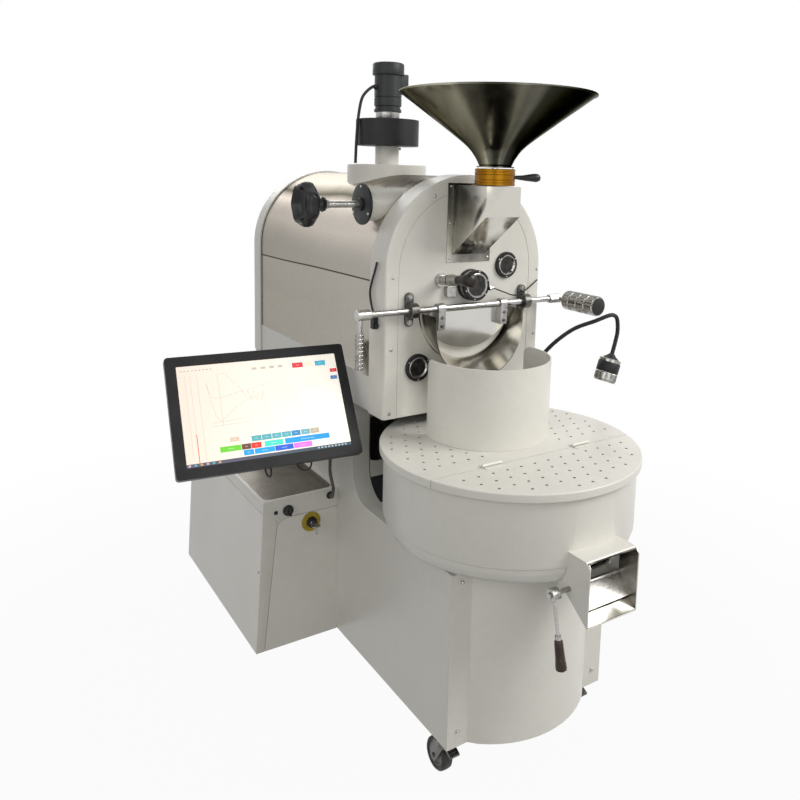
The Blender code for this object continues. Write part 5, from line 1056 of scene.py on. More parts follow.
@dataclass
class Head:
    """Roasting head: front arch with its face plate, polished casing, skirt and rear cover."""

    radius: float = 0.235
    crown: float = 1.118
    low: float = 0.7683
    face_y: float = 0.297
    band: float = 0.073
    sheet: float = 0.006
    plate: float = 0.008
    panel: float = 0.1975
    round_edge: float = 0.007
    screws: tuple[tuple[float, float], ...] = (
        (-0.1026, 1.301), (0.1026, 1.301), (-0.2140, 1.110), (-0.2160, 0.938), (-0.2180, 0.782),
        (0.2266, 1.111), (0.2226, 0.938), (0.2180, 0.782))

    def arch(self) -> None:
        """Carries the rounded front band over the head."""
        r, y, back = self.radius, self.face_y, self.face_y + self.band
        edge = bow((r - self.round_edge, y + self.round_edge), self.round_edge, -90, 0, 8)
        inner = r - self.sheet
        section = [(self.panel + 0.0008, y), *edge, (r, back), (inner, back),
                   (inner, y + self.plate), (self.panel + 0.0008, y + self.plate)]
        form = Form().arched(section, self.low)
        form.piece("arch_band", WHITE, "front_arch_frame", angle=40)
        form = Form()
        for x, z in self.screws:
            form.screw((x, y - 0.0002, z), (0, -1, 0), 0.0042, 0.0024)
        form.piece("arch_screws", BRUSHED, angle=40)

    def rear(self) -> None:
        """Carries the rear cover over the head and closes its back."""
        r, y, back = self.radius, 1.100, 1.157
        inner = r - self.sheet
        edge = bow((r - self.round_edge, back - self.round_edge), self.round_edge, 90, 0, 8)
        section = [(inner, y), (inner, back - 0.0025), (0.02, back - 0.0025), (0.02, back), *edge,
                   (r, y)]
        form = Form().arched(section, self.low)
        form.block((-0.0205, back - 0.0026, self.low), (0.0205, back - 0.0001, 1.13))
        form.piece("rear_cover", WHITE, "rear_arch_cover", angle=40)

    def casing(self) -> None:
        """Carries the polished casing and the white skirt under it."""
        r, t = 0.2305, 0.0025
        front, back = 0.3703, 1.0997
        skin = [(r, front), (r, back), (r - t, back), (r - t, front)]
        form = Form().arched(skin, 0.8563, steps=96)
        form.piece("casing_skin", CASING, "drum_casing", angle=40)
        skirt = Form().copied("casing_skirt")
        skirt.piece("casing_apron", WHITE, "casing_skirt", bevel=0.001)

    def face(self) -> None:
        """Cuts the face plate."""
        y, t = self.face_y, self.plate
        r = self.panel
        outline = [(r, self.low)] + bow((0, self.crown), r, 0, 180, 72) + [(-r, self.low)]
        reach = (y - 0.02, y + 0.03)
        lower = [p for p in bow((0, 1.075), 0.139, -160, -20, 40) if abs(p[0]) <= 0.106]
        edge_z = 1.075 - math.sqrt(0.139 ** 2 - 0.106 ** 2)
        door = [(-0.106, 1.015), (-0.106, edge_z), *lower, (0.106, edge_z), (0.106, 1.015)]
        cuts = [Form().plate(door, Axis.Y, *reach),
                Form().block((-0.040, reach[0], 1.185), (0.040, reach[1], 1.262)),
                Form().bar((0.119, 0, 1.127), Axis.Y, 0.022, *reach),
                Form().bar((-0.142, 0, 0.888), Axis.Y, 0.022, *reach)]
        form = Form().plate(outline, Axis.Y, y, y + t).less(*cuts)
        form.piece("face_sheet", WHITE, "front_face_plate", bevel=0.0007, angle=40)
        block = Form().plate(soft_corners((-0.0685, 1.057), (-0.0425, 1.083), 0.0035), Axis.Y,
                             y - 0.014, y + 0.001)
        block.piece("face_block", BRUSHED, bevel=0.0007)

    def switch(self) -> None:
        """Limit switch and its cable on the arch's left side."""
        wall = -self.radius
        form = Form().block((wall - 0.0128, 0.3265, 0.985), (wall - 0.0002, 0.3425, 1.019))
        form.block((wall - 0.0098, 0.3188, 0.9905), (wall - 0.0032, 0.3262, 0.9985))
        form.piece("door_switch", PLASTIC, bevel=0.0012)
        line = eased([(wall - 0.0065, 0.3345, 1.0165), (wall - 0.0065, 0.3500, 1.042),
                      (wall - 0.0065, 0.3560, 1.077), (wall - 0.0056, 0.3340, 1.128),
                      (wall - 0.0033, 0.3306, 1.145)], 6)
        cable = Form().tube(line, 0.0027, 12)
        cable.piece("door_switch_cable", BLACK_RUBBER)

    def build(self) -> None:
        """Builds the whole head."""
        self.arch()
        self.rear()
        self.casing()
        self.face()
        self.switch()


@dataclass
class Exhaust:
    """Exhaust base and pipe, blower drum, spacer and the motor on top."""

    y: float = 0.710
    base_radius: float = 0.113
    pipe_radius: float = 0.034
    base_top: float = 1.375
    drum_radius: float = 0.090
    drum_low: float = 1.428
    drum_high: float = 1.502

    def stack(self) -> None:
        """Turns the white base and pipe."""
        c, top = (0.0, self.y, 0.0), self.base_top
        r, p = self.base_radius, self.pipe_radius
        end = self.drum_low - 0.001
        profile = [(p - 0.0025, 1.29), (r - 0.0025, 1.29), (r, 1.30), (r, top - 0.0015),
                   (r - 0.0015, top), (p + 0.002, top), (p, top + 0.002), (p, end),
                   (p - 0.0025, end)]
        form = Form().turned(profile, c, steps=96)
        form.piece("exhaust_base", WHITE, "exhaust_stack")
        bolt = Form().bar((0.036, self.y - 0.006, 0), Axis.X, 0.004, 0.033, 0.041, 6)
        bolt.placed(Matrix.Translation((0, 0, self.drum_low - 0.007)))
        bolt.piece("pipe_bolt", BRUSHED)

    def drum(self) -> None:
        """Turns the black blower drum and its steel spacer."""
        c, r = (0.0, self.y, 0.0), self.drum_radius
        low, high = self.drum_low, self.drum_high
        profile = [(0.030, low), (r - 0.0015, low), (r, low + 0.0015), (r, high - 0.0015),
                   (r - 0.0015, high), (0.030, high)]
        form = Form().turned(profile, c, steps=96)
        form.piece("blower_drum", BLACK, "blower_housing")
        spacer = Form().turned([(0.020, high - 0.001), (0.0335, high - 0.001), (0.034, high),
                                (0.034, 1.5225), (0.020, 1.5225)], c, steps=48)
        for across, back in round_spots(0.030, 4, 45):
            spacer.bar((across, self.y + back, 0), Axis.Z, 0.0042, high - 0.001, 1.5226, 6)
        spacer.piece("motor_spacer", BRUSHED)

    def motor(self) -> None:
        """Turns the motor, with its terminal box and cable gland."""
        c = (0.0, self.y, 0.0)
        profile = [(0, 1.523), (0.0385, 1.523), (0.039, 1.5235), (0.039, 1.531), (0.036, 1.532),
                   (0.036, 1.539), (0.039, 1.5405), (0.039, 1.562), (0.0375, 1.563),
                   (0.0375, 1.5645), (0.039, 1.5655), (0.039, 1.6248), (0.0445, 1.6256),
                   (0.045, 1.627), (0.045, 1.6545), (0.0435, 1.6575), (0.040, 1.6592),
                   (0.034, 1.6598), (0, 1.66)]
        form = Form().turned(profile, c, steps=72)
        box = soft_corners((self.y - 0.026, 1.583), (self.y + 0.026, 1.630), 0.0035)
        form.plate(box, Axis.X, 0.020, 0.0500)
        lid = soft_corners((self.y - 0.0255, 1.5835), (self.y + 0.0255, 1.6295), 0.0035)
        form.plate(lid, Axis.X, 0.0502, 0.0520)
        form.bar((0, self.y, 1.591), Axis.X, 0.0072, -0.0445, -0.030, 12)
        form.bar((0, self.y, 1.591), Axis.X, 0.0086, -0.0405, -0.0385, 6)
        form.piece("exhaust_motor", MOTOR_GREY, "blower_gearmotor", angle=40)

    def build(self) -> None:
        """Builds the whole exhaust."""
        self.stack()
        self.drum()
        self.motor()


@dataclass
class Damper:
    """Air damper: white pipe with a black flange, steel shaft and lobed handwheel."""

    y: float = 0.420
    z: float = 1.276
    pipe_radius: float = 0.041
    flange_radius: float = 0.050
    flange_x: float = -0.233
    wheel_radius: float = 0.054
    hub_x: float = -0.333
    rim_x: float = -0.3965
    lobes: int = 7

    def pipe(self) -> None:
        """Turns the pipe and its flange."""
        c = (0.0, self.y, self.z)
        f, r = self.flange_x, self.pipe_radius
        form = Form().turned([(r - 0.0025, f + 0.003), (r, f + 0.003), (r, -0.08),
                              (r - 0.0025, -0.08)], c, Axis.X, 64)
        form.piece("damper_duct", WHITE, "damper_pipe")
        flange = Form().turned([(0.0088, f - 0.0095), (0.0148, f - 0.0095), (0.0160, f - 0.008),
                                (0.0160, f - 0.003), (0.0465, f - 0.003),
                                (self.flange_radius, f - 0.0020),
                                (self.flange_radius, f + 0.0028), (0.0088, f + 0.0028)],
                               c, Axis.X, 64)
        flange.piece("damper_flange", PLASTIC)
        heads = Form()
        for back, up in round_spots(0.0425, 3, 90):
            heads.screw((f - 0.003, self.y + back, self.z + up), (-1, 0, 0), 0.0036, 0.0024)
        heads.piece("damper_screws", BRUSHED, angle=40)

    def wheel(self) -> None:
        """Shapes the lobed handwheel: hub, dished web and thick rim."""
        form = Form()
        shares = ((0.0, 0.30), (0.10, 0.34), (0.14, 0.28), (0.30, 0.27), (0.34, 0.46), (0.46, 0.80),
                  (0.56, 0.95), (0.70, 1.0), (0.86, 0.99), (0.96, 0.94), (1.0, 0.88), (0.98, 0.82),
                  (0.80, 0.72), (0.66, 0.56), (0.62, 0.34), (0.63, 0.0))
        depth = self.rim_x - self.hub_x
        before = None
        for share, spread in shares:
            x = self.hub_x + depth * share
            size = max(self.wheel_radius * spread, 0.0002)
            turn = Matrix.Translation((x, self.y, self.z)) @ Matrix.Rotation(math.pi / 2, 4, "Y")
            ring = bmesh.ops.create_circle(form.bm, radius=size, segments=self.lobes * 12,
                                           cap_ends=share in (0.0, 0.63), matrix=turn)["verts"]
            for vert in ring:
                way = vert.co - Vector((x, self.y, self.z))
                angle = math.atan2(way.z, way.y)
                swell = 0.045 * max(0.0, spread - 0.6) / 0.4 * math.cos(self.lobes * angle)
                vert.co += way * (swell - 0.045 * max(0.0, spread - 0.6) / 0.4)
            before = form.bridged(before, ring)
        form.piece("damper_wheel", BAKELITE, "damper_handwheel", body="damper", angle=50)
        c = (0, self.y, self.z)
        shaft = Form().bar(c, Axis.X, 0.0085, self.hub_x - 0.004, self.flange_x + 0.028, 32)
        shaft.bar(c, Axis.X, 0.0118, self.hub_x - 0.0005, self.hub_x + 0.008, 6)
        shaft.bar(c, Axis.X, 0.0100, self.hub_x + 0.0085, self.hub_x + 0.012, 32)
        shaft.piece("damper_shaft", BRUSHED, body="damper")

    def build(self) -> None:
        """Builds the whole damper."""
        self.pipe()
        self.wheel()


@dataclass
class Feed:
    """Inlet chute, gold valve and its lever, under the hopper."""

    y: float = 0.200
    low: float = 1.3300
    high: float = 1.3690
    radius: float = 0.0475
    bore: float = 0.034
    slot: tuple[float, float] = (1.3440, 1.3550)
    turn: float = -12.0

    def ring(self, low: float, high: float) -> Form:
        """One solid band of the valve, its edges rounded and grooved round the middle."""
        r, e, middle = self.radius, 0.0012, (low + high) / 2
        profile = [(self.bore, low), (r - e, low), (r, low + e), (r, middle - 0.0012),
                   (r - 0.0014, middle - 0.0007), (r - 0.0014, middle + 0.0007),
                   (r, middle + 0.0012), (r, high - e), (r - e, high), (self.bore, high)]
        return Form().turned(profile, (0.0, self.y, 0.0), steps=96)

    def valve(self) -> None:
        """Builds the valve from two bands and the wall between them, open at the lever."""
        lower = self.ring(self.low, self.slot[0])
        lower.piece("valve_lower", GOLD, "valve_body", angle=40)
        self.ring(self.slot[1], self.high).piece("valve_upper", GOLD, angle=40)
        centre = (0, self.y)
        start, end = self.turn + 87, 360 + self.turn - 15
        wall = (bow(centre, self.radius - 0.0006, start, end, 72)
                + bow(centre, self.bore + 0.003, end, start, 72))
        form = Form().plate(wall, Axis.Z, *self.slot)
        form.piece("valve_wall", GOLD, angle=40)
        heads = Form()
        for across, back in round_spots(0.0415, 4, 45):
            heads.screw((across, self.y + back, self.high - 0.0002), (0, 0, 1), 0.0030, 0.0018)
        heads.piece("valve_screws", BRUSHED, angle=40)

    def lever(self) -> None:
        """Draws the lever's black sleeve and knob."""
        a = math.radians(self.turn)
        way = Vector((math.cos(a), math.sin(a), 0))
        spot = Vector((0, self.y, 1.3503))
        sizes = ((0.050, 0.0036), (0.053, 0.0043), (0.060, 0.0046), (0.072, 0.0052),
                 (0.084, 0.0073), (0.096, 0.0092), (0.106, 0.0101), (0.112, 0.0098),
                 (0.116, 0.0080), (0.1182, 0.0045))
        form = Form().tube([spot + way * d for d, r in sizes], [r for d, r in sizes], 24)
        form.piece("valve_handle", BAKELITE, body="valve_lever", angle=50)

    def chute(self) -> None:
        """Copies the inlet chute and adds its screws."""
        form = Form().copied("inlet_chute")
        form.piece("feed_chute", CHUTE, "inlet_chute", bevel=0.0007)
        heads = Form()
        for x in (-0.058, 0.058):
            for z in (1.325, 1.236, 1.150):
                heads.screw((x, 0.2945, z), (0, -1, 0), 0.0034, 0.0022)
        heads.piece("chute_screws", BRUSHED, angle=40)

    def build(self) -> None:
        """Builds the whole feed."""
        self.valve()
        self.lever()
        self.chute()


@dataclass
class FaceFittings:
    """Sight glasses, trier and the temperature probe on the face plate."""

    face: float = 0.297
    upper: tuple[float, float] = (0.119, 1.127)
    lower: tuple[float, float] = (-0.142, 0.888)
    probe_x: float = 0.008
    probe_z: float = 1.083
    gland: Point = (0.0, 0.2650, 1.075)
    trier_x: float = -0.079
    trier_z: float = 1.098
    trier_tilt: float = math.radians(-6.6)

    def sight(self, name: str, node: str, x: float, z: float) -> None:
        """Builds one sight glass.

        Args:
            name: its name.
            node: the CAD node that it stands for.
            x: its place across.
            z: its height.
        """
        c, y = (x, 0.0, z), self.face
        ring = Form().turned([(0.0265, y - 0.0002), (0.0335, y - 0.0002), (0.0335, y - 0.0064),
                              (0.0322, y - 0.0078), (0.0275, y - 0.0080), (0.0265, y - 0.0072)],
                             c, Axis.Y, 64)
        ring.piece(f"{name}_flange", PLASTIC, node)
        rim = Form().turned([(0.0205, y - 0.0002), (0.0263, y - 0.0002), (0.0263, y - 0.0082),
                             (0.0252, y - 0.0094), (0.0232, y - 0.0094), (0.0205, y - 0.0062)],
                            c, Axis.Y, 64)
        rim.piece(f"{name}_rim", CHROME)
        glass = Form().turned([(0, y - 0.0002), (0.0204, y - 0.0002), (0.0204, y - 0.0056),
                               (0, y - 0.0060)], c, Axis.Y, 48)
        glass.piece(f"{name}_pane", GLASS)
        heads = Form()
        for across, up in round_spots(0.0300, 3, 30):
            heads.screw((x + across, y - 0.0078, z + up), (0, -1, 0), 0.0021, 0.0012)
        heads.piece(f"{name}_screws", BRUSHED, angle=40)

    def probe(self) -> None:
        """Builds the probe port with its chrome ring, glass and gland."""
        c, y = (self.probe_x, 0.0, self.probe_z), self.face
        body = Form().turned([(0.010, y - 0.0002), (0.0385, y - 0.0002), (0.0385, y - 0.0060),
                              (0.0350, y - 0.0066), (0.0350, y - 0.0225), (0.0385, y - 0.0230),
                              (0.0385, y - 0.0305), (0.0372, y - 0.0318), (0.0290, y - 0.0320),
                              (0.0290, y - 0.0290), (0.010, y - 0.0290)], c, Axis.Y, 72)
        body.piece("probe_body", PLASTIC, "probe_port")
        neck = Form().turned([(0.0345, y - 0.0070), (0.0362, y - 0.0070), (0.0362, y - 0.0222),
                              (0.0345, y - 0.0222)], c, Axis.Y, 72)
        neck.piece("probe_neck", CHROME)
        rim = Form().turned([(0.0255, y - 0.0292), (0.0312, y - 0.0292), (0.0312, y - 0.0326),
                             (0.0300, y - 0.0334), (0.0270, y - 0.0332), (0.0255, y - 0.0318)],
                            c, Axis.Y, 64)
        rim.piece("probe_rim", CHROME)
        pane = Form().turned([(0, y - 0.0292), (0.0254, y - 0.0292), (0.0254, y - 0.0312),
                              (0, y - 0.0316)], c, Axis.Y, 48)
        pane.piece("probe_pane", GLASS)
        heads = Form()
        for across, up in round_spots(0.0348, 6, 20):
            heads.screw((c[0] + across, y - 0.0320, c[2] + up), (0, -1, 0), 0.0022, 0.0013)
        heads.piece("probe_screws", BRUSHED, angle=40)
        gland = Form().bar(self.gland, Axis.X, 0.0066, 0.0440, 0.0500, 6)
        gland.bar(self.gland, Axis.X, 0.0050, 0.0495, 0.0575, 24)
        gland.piece("probe_gland", CHROME)

    def trier(self) -> None:
        """Builds the trier's chrome socket and its waisted grip."""
        tilt = (Matrix.Translation((self.trier_x, self.face, self.trier_z))
                @ Matrix.Rotation(self.trier_tilt, 4, "X"))
        socket = Form().turned([(0.0112, -0.034), (0.0122, -0.0345), (0.0128, -0.0335),
                                (0.0128, -0.0290), (0.0118, -0.0280), (0.0118, -0.0055),
                                (0.0178, -0.0050), (0.0178, -0.0002), (0.0112, -0.0002)],
                               (0, 0, 0), Axis.Y, 48).placed(tilt)
        socket.piece("trier_sleeve", CHROME, "trier_socket")
        waist = eased([(0.0120, -0.0352), (0.0124, -0.0420), (0.0110, -0.0560), (0.0109, -0.0700),
                       (0.0120, -0.0880), (0.0150, -0.1080), (0.0159, -0.1200), (0.0156, -0.1285),
                       (0.0120, -0.1325)], 4)
        grip = Form().turned([(0, -0.0350), (0.0105, -0.0350), *[tuple(p) for p in waist],
                              (0, -0.1332)], (0, 0, 0), Axis.Y, 48).placed(tilt)
        grip.piece("trier_grip", EBONY, body="trier", angle=60)

    def build(self) -> None:
        """Builds all of them."""
        self.sight("upper_sight", "upper_sight_glass", *self.upper)
        self.sight("lower_sight", "lower_sight_glass", *self.lower)
        self.probe()
        self.trier()


@dataclass
class DoorGear:
    """Counterweighted discharge door: shaft, clamps, handle, weight, plate and bearings."""

    y: float = 0.275
    z: float = 1.0325
    radius: float = 0.0075
    left: float = -0.303
    right: float = 0.262
    clamp_x: float = 0.0945
    clamp_drop: float = 0.0525
    bearing_x: float = 0.171
    bearing_face: float = 0.2967
    handle_low: float = 0.906
    handle_high: float = 0.991
    weight_x: float = 0.2855
    weight_ends: tuple[float, float] = (0.238, 0.124)

    def shaft(self) -> None:
        """Builds the shaft with its clamps and left collar."""
        c = (0.0, self.y, self.z)
        form = Form().bar(c, Axis.X, self.radius, self.left, self.right, 48)
        form.bar(c, Axis.X, 0.0126, self.left - 0.017, self.left + 0.017, 48, 0.0015)
        form.bar(c, Axis.X, 0.0122, self.right - 0.010, self.right + 0.0022, 6, 0.0010)
        form.bar((self.left - 0.0085, self.y, 0), Axis.Z, 0.0060, 0.988, self.z, 24)
        form.piece("swing_shaft", BRUSHED, "door_shaft", body="door", angle=40)
        for side, name in ((-1, "left"), (1, "right")):
            x = side * self.clamp_x
            foot = self.z - self.clamp_drop
            outline = bow((self.y, self.z), 0.0128, 0, 180, 20) + [
                (self.y - 0.0102, foot), (0.2837, foot), (0.2837, self.z - 0.009)]
            clamp = Form().plate(outline, Axis.X, x - 0.0102, x + 0.0102)
            clamp.piece(f"door_clamp_{name}", BRUSHED, body="door", bevel=0.0008)
            bolts = Form()
            for drop in (0.0215, 0.0425):
                bolts.bar((x, 0, self.z - drop), Axis.Y, 0.0044, 0.2622, 0.2650, 24, 0.0008)
                bolts.bar((x, 0, self.z - drop), Axis.Y, 0.0021, 0.2618, 0.2640, 6, 0.0003)
            bolts.piece(f"clamp_bolts_{name}", DARK_STEEL, body="door", slot="brushed_steel")

    def handle(self) -> None:
        """Builds the hanging handle: a stack of knurled beads."""
        x = self.left - 0.0085
        form = Form()
        low, high, beads = self.handle_low, self.handle_high, 9
        pitch = (high - low) / beads
        for k in range(beads):
            base = low + pitch * k
            form.knurled((x, self.y, 0), Axis.Z, 0.0101, base + pitch * 0.10, base + pitch * 0.86,
                         3, 22, 0.0009)
        form.bar((x, self.y, 0), Axis.Z, 0.0078, low + 0.0004, high + 0.002, 32)
        form.piece("door_handle", CHROME, body="door", angle=20)

    def weight(self) -> None:
        """Builds the knurled counterweight on its arm."""
        x, (near, far) = self.weight_x, self.weight_ends
        form = Form()
        bands = 4
        pitch = (near - far) / bands
        for k in range(bands):
            base = far + pitch * k
            form.knurled((x, 0, self.z), Axis.Y, 0.0255, base + pitch * 0.07, base + pitch * 0.93,
                         6, 44, 0.0012)
        form.bar((x, 0, self.z), Axis.Y, 0.0230, far + 0.0006, near, 48, 0.0015)
        form.piece("counterweight", CHROME, "door_counterweight", body="door", angle=20)
        cap = Form().turned([(0, far - 0.0001), (0.0205, far - 0.0001), (0.0222, far + 0.0008),
                             (0.0222, far + 0.0030), (0, far + 0.0030)], (x, 0, self.z), Axis.Y, 48)
        cap.piece("weight_cap", BLACK_RUBBER, body="door")
        arm = Form().bar((x, 0, self.z), Axis.Y, 0.0060, near - 0.002, self.y, 24)
        arm.bar((0, self.y, self.z), Axis.X, 0.0124, self.right + 0.0028, x + 0.0064, 6, 0.0012)
        arm.piece("weight_arm", BRUSHED, body="door", angle=40)

    def plate(self) -> None:
        """Copies the door's plate."""
        form = Form().copied("door_plate")
        form.piece("swing_plate", DOOR_STEEL, "door_plate", body="door", bevel=0.0008)

    def bearings(self) -> None:
        """Builds the two pillow blocks."""
        front = self.bearing_face
        for node, x in (("left_pillow_block", -self.bearing_x),
                        ("right_pillow_block", self.bearing_x)):
            foot = Form().plate(soft_corners((x - 0.011, self.z - 0.041),
                                             (x + 0.011, self.z + 0.041), 0.0106), Axis.Y,
                                front - 0.0082, front)
            foot.piece(f"{node}_foot", DARK_STEEL, node, bevel=0.0015)
            hub = Form().turned([(0.0077, x - 0.0108), (0.0165, x - 0.0108), (0.0182, x - 0.0092),
                                 (0.0182, x + 0.0092), (0.0165, x + 0.0108), (0.0077, x + 0.0108)],
                                (0, self.y, self.z), Axis.X, 48)
            hub.piece(f"{node}_hub", DARK_STEEL)
            bolts = Form()
            for side in (-1, 1):
                spot = (x, 0, self.z + side * 0.031)
                bolts.bar(spot, Axis.Y, 0.0072, front - 0.0094, front - 0.0080, 32)
                bolts.bar(spot, Axis.Y, 0.0058, front - 0.0128, front - 0.0090, 6, 0.0006)
            bolts.piece(f"{node}_bolts", BRUSHED)

    def build(self) -> None:
        """Builds the whole door gear."""
        self.shaft()
        self.handle()
        self.weight()
        self.plate()
        self.bearings()


@dataclass
class Spout:
    """Folded trough under the door, open at its top."""

    wing: float = 1.0195
    sheet: float = 0.002
    stations: tuple[tuple[float, float, float], ...] = (
        (0.134, 1.030, 0.2945), (0.1335, 1.021, 0.281), (0.1312, 1.0085, 0.2643),
        (0.1318, 0.996, 0.246), (0.132, 0.987, 0.232))
    flange: tuple[tuple[float, float, float], ...] = ((0.142, 1.030, 0.2942),
                                                      (0.142, 1.030, 0.2966))

    def section(self, radius: float, z: float, y: float) -> list[Vector]:
        """One closed section: the outer line out and the inner line back."""
        loop = []
        for r, back in ((radius, False), (radius - self.sheet, True)):
            reach = math.sqrt(max(r * r - max(0.0, z - self.wing) ** 2, 0))
            start = math.degrees(math.asin(min(1.0, max(0.0, (z - self.wing)) / r)))
            line = [Vector((px, y, pz)) for px, pz in bow((0, z), r, 180 + start, 360 - start, 60)]
            line = [Vector((-reach, y, self.wing)), *line, Vector((reach, y, self.wing))]
            loop += line[::-1] if back else line
        return loop

    def build(self) -> None:
        """Builds the spout."""
        form = Form()
        for line in (self.stations, self.flange):
            form.lofted([self.section(*station) for station in line])
        form.piece("spout_trough", SPOUT, "bean_spout", angle=30)


@dataclass
class Outlet:
    """Discharge chute on the bin, and its gate with the hanging lever."""

    y: float = -0.1855
    z: float = 0.530

    def build(self) -> None:
        """Builds the outlet."""
        chute = Form().copied("discharge_chute")
        chute.piece("outlet_chute", WHITE, "discharge_chute", bevel=0.0010)
        # Stainless lining on the chute's walls, floor and top, darkened as painted shade inside the
        # chute.
        liner = Form()
        for side in (-1, 1):
            near, far = sorted((side * 0.0665, side * 0.0676))
            liner.plate([(-0.2392, 0.4730), (-0.1900, 0.5140), (-0.1900, 0.6020), (-0.2340, 0.6020),
                         (-0.2392, 0.5960)], Axis.X, near, far)
        liner.plate([(-0.2398, 0.4712), (-0.1900, 0.5128), (-0.1900, 0.5140), (-0.2398, 0.4724)],
                    Axis.X, -0.0664, 0.0664)
        liner.plate([(-0.2340, 0.6020), (-0.1900, 0.6020), (-0.1900, 0.6031), (-0.2340, 0.6031)],
                    Axis.X, -0.0664, 0.0664)
        liner.piece("outlet_shaded_liner", SHADED_LINER, angle=30)
        lean = math.radians(12.8)
        down = Vector((0, -math.sin(lean), -math.cos(lean)))
        spot = Vector((-0.112, self.y, self.z))
        hub = Form().bar((0, self.y, self.z), Axis.X, 0.0135, -0.1215, -0.1025, 40, 0.0020)
        hub.bar((0, self.y, self.z), Axis.X, 0.0062, -0.1250, -0.1210, 6, 0.0006)
        hub.piece("lever_hub", CHROME, body="outlet_gate")
        sizes = ((0.0890, 0.0068), (0.0905, 0.0082), (0.0950, 0.0090), (0.1100, 0.0094),
                 (0.1280, 0.0103), (0.1420, 0.0116), (0.1470, 0.0112), (0.1492, 0.0080))
        grip = Form().tube([spot + down * d for d, r in sizes], [r for d, r in sizes], 32)
        grip.piece("lever_grip", BROWN, body="outlet_gate", angle=60)
        ferrule = Form().tube([spot + down * d for d in (0.080, 0.0805, 0.0885, 0.0890)],
                              [0.0058, 0.0064, 0.0064, 0.0058], 24)
        ferrule.piece("lever_ferrule", CHROME, body="outlet_gate")


@dataclass
class Lamp:
    """Gooseneck work lamp on the right of the arch."""

    reach: tuple[float, ...] = (0.0, 0.10, 0.24, 0.43, 0.63, 0.80, 0.905, 0.965, 0.985, 0.950,
                                0.900)
    rise: tuple[float, ...] = (0.0, 0.19, 0.36, 0.51, 0.595, 0.645, 0.640, 0.600, 0.490, 0.385,
                               0.275)
    drop: float = math.radians(19.0)
    foot: Point = (0.2427, 0.338, 0.794)
    span: Point = (0.201, -0.138, 0.3)
    neck: float = 0.0054
    rib: float = 0.0003

    def build(self) -> None:
        """Builds the lamp."""
        (x, y, z), (wide, deep, tall) = self.foot, self.span
        path = [Vector((x + wide * a, y + deep * min(1.0, a * 1.4), z + tall * b))
                for a, b in zip(self.reach, self.rise)]
        line = eased(path, 6)
        neck = Form().tube(line, [self.neck + self.rib * (k % 2) for k in range(len(line))], 20)
        neck.bar((0, y, z), Axis.X, 0.0178, 0.2354, 0.2432, 40, 0.0015)
        neck.piece("lamp_neck", PLASTIC, "work_lamp", angle=40)
        tip = path[-1]
        turn = Matrix.Translation(tip) @ Matrix.Rotation(math.pi + self.drop, 4, "Y")
        bands = (("lamp_cap", PLASTIC,
                  ((0.0045, -0.0040), (0.0066, -0.0040), (0.0120, 0.0020), (0.0205, 0.0080),
                   (0.0235, 0.0104), (0.0045, 0.0104))),
                 ("lamp_collar", CHROME,
                  ((0.0100, 0.0106), (0.0275, 0.0106), (0.0292, 0.0125), (0.0292, 0.0195),
                   (0.0280, 0.0205), (0.0100, 0.0205))),
                 ("lamp_barrel", PLASTIC,
                  ((0.0100, 0.0207), (0.0296, 0.0207), (0.0302, 0.0215), (0.0302, 0.0470),
                   (0.0296, 0.0480), (0.0100, 0.0480))),
                 ("lamp_face", GLASS,
                  ((0.0, 0.0700), (0.0238, 0.0700), (0.0238, 0.0724), (0.0, 0.0728))))
        for name, finish, profile in bands:
            form = Form().turned(list(profile), (0, 0, 0), Axis.Z, 64).placed(turn)
            form.piece(name, finish, angle=40)
        ring = Form().knurled((0, 0, 0), Axis.Z, 0.0300, 0.0484, 0.0700, 7, 52, 0.0010)
        ring.turned([(0.0240, 0.0695), (0.0280, 0.0695), (0.0292, 0.0710), (0.0292, 0.0732),
                     (0.0280, 0.0740), (0.0240, 0.0738)], (0, 0, 0), Axis.Z, 56)
        ring.placed(turn).piece("lamp_ring", CHROME, angle=20)


@dataclass
class Casters:
    """Four swivel casters, each with a turned wheel in its own fork."""

    half: float = 0.014
    tread: tuple[tuple[float, float], ...] = ((0.0245, 0.8), (0.0300, 1.0), (0.0335, 0.96),
                                              (0.0366, 0.75), (0.0375, 0.35))
    web: tuple[tuple[float, float], ...] = ((0.0045, 0.95), (0.0095, 0.95), (0.0100, 0.6),
                                            (0.0215, 0.55), (0.0225, 0.8), (0.0246, 0.8))

    def both_sides(self, x: float, line: tuple[tuple[float, float], ...]
                   ) -> list[tuple[float, float]]:
        """A wheel's outline from one side's (radius, share of the half width) points."""
        return ([(r, x - self.half * share) for r, share in line]
                + [(r, x + self.half * share) for r, share in line[::-1]])

    def build(self) -> None:
        """Builds the casters."""
        for corner in ("front_left", "front_right", "rear_left", "rear_right"):
            fork = Form().copied(f"caster_fork_{corner}")
            fork.piece(f"fork_{corner}", DARK_STEEL, f"caster_fork_{corner}",
                       body=f"fork_{corner}", bevel=0.0008)
            x, y, z = middle(f"caster_wheel_{corner}")
            tyre = Form().turned(self.both_sides(x, self.tread), (x, y, z), Axis.X, 72)
            tyre.piece(f"tyre_{corner}", TYRE, f"caster_wheel_{corner}", body=f"wheel_{corner}")
            hub = Form().turned(self.both_sides(x, self.web), (x, y, z), Axis.X, 48)
            hub.piece(f"hub_{corner}", HUB, body=f"wheel_{corner}")


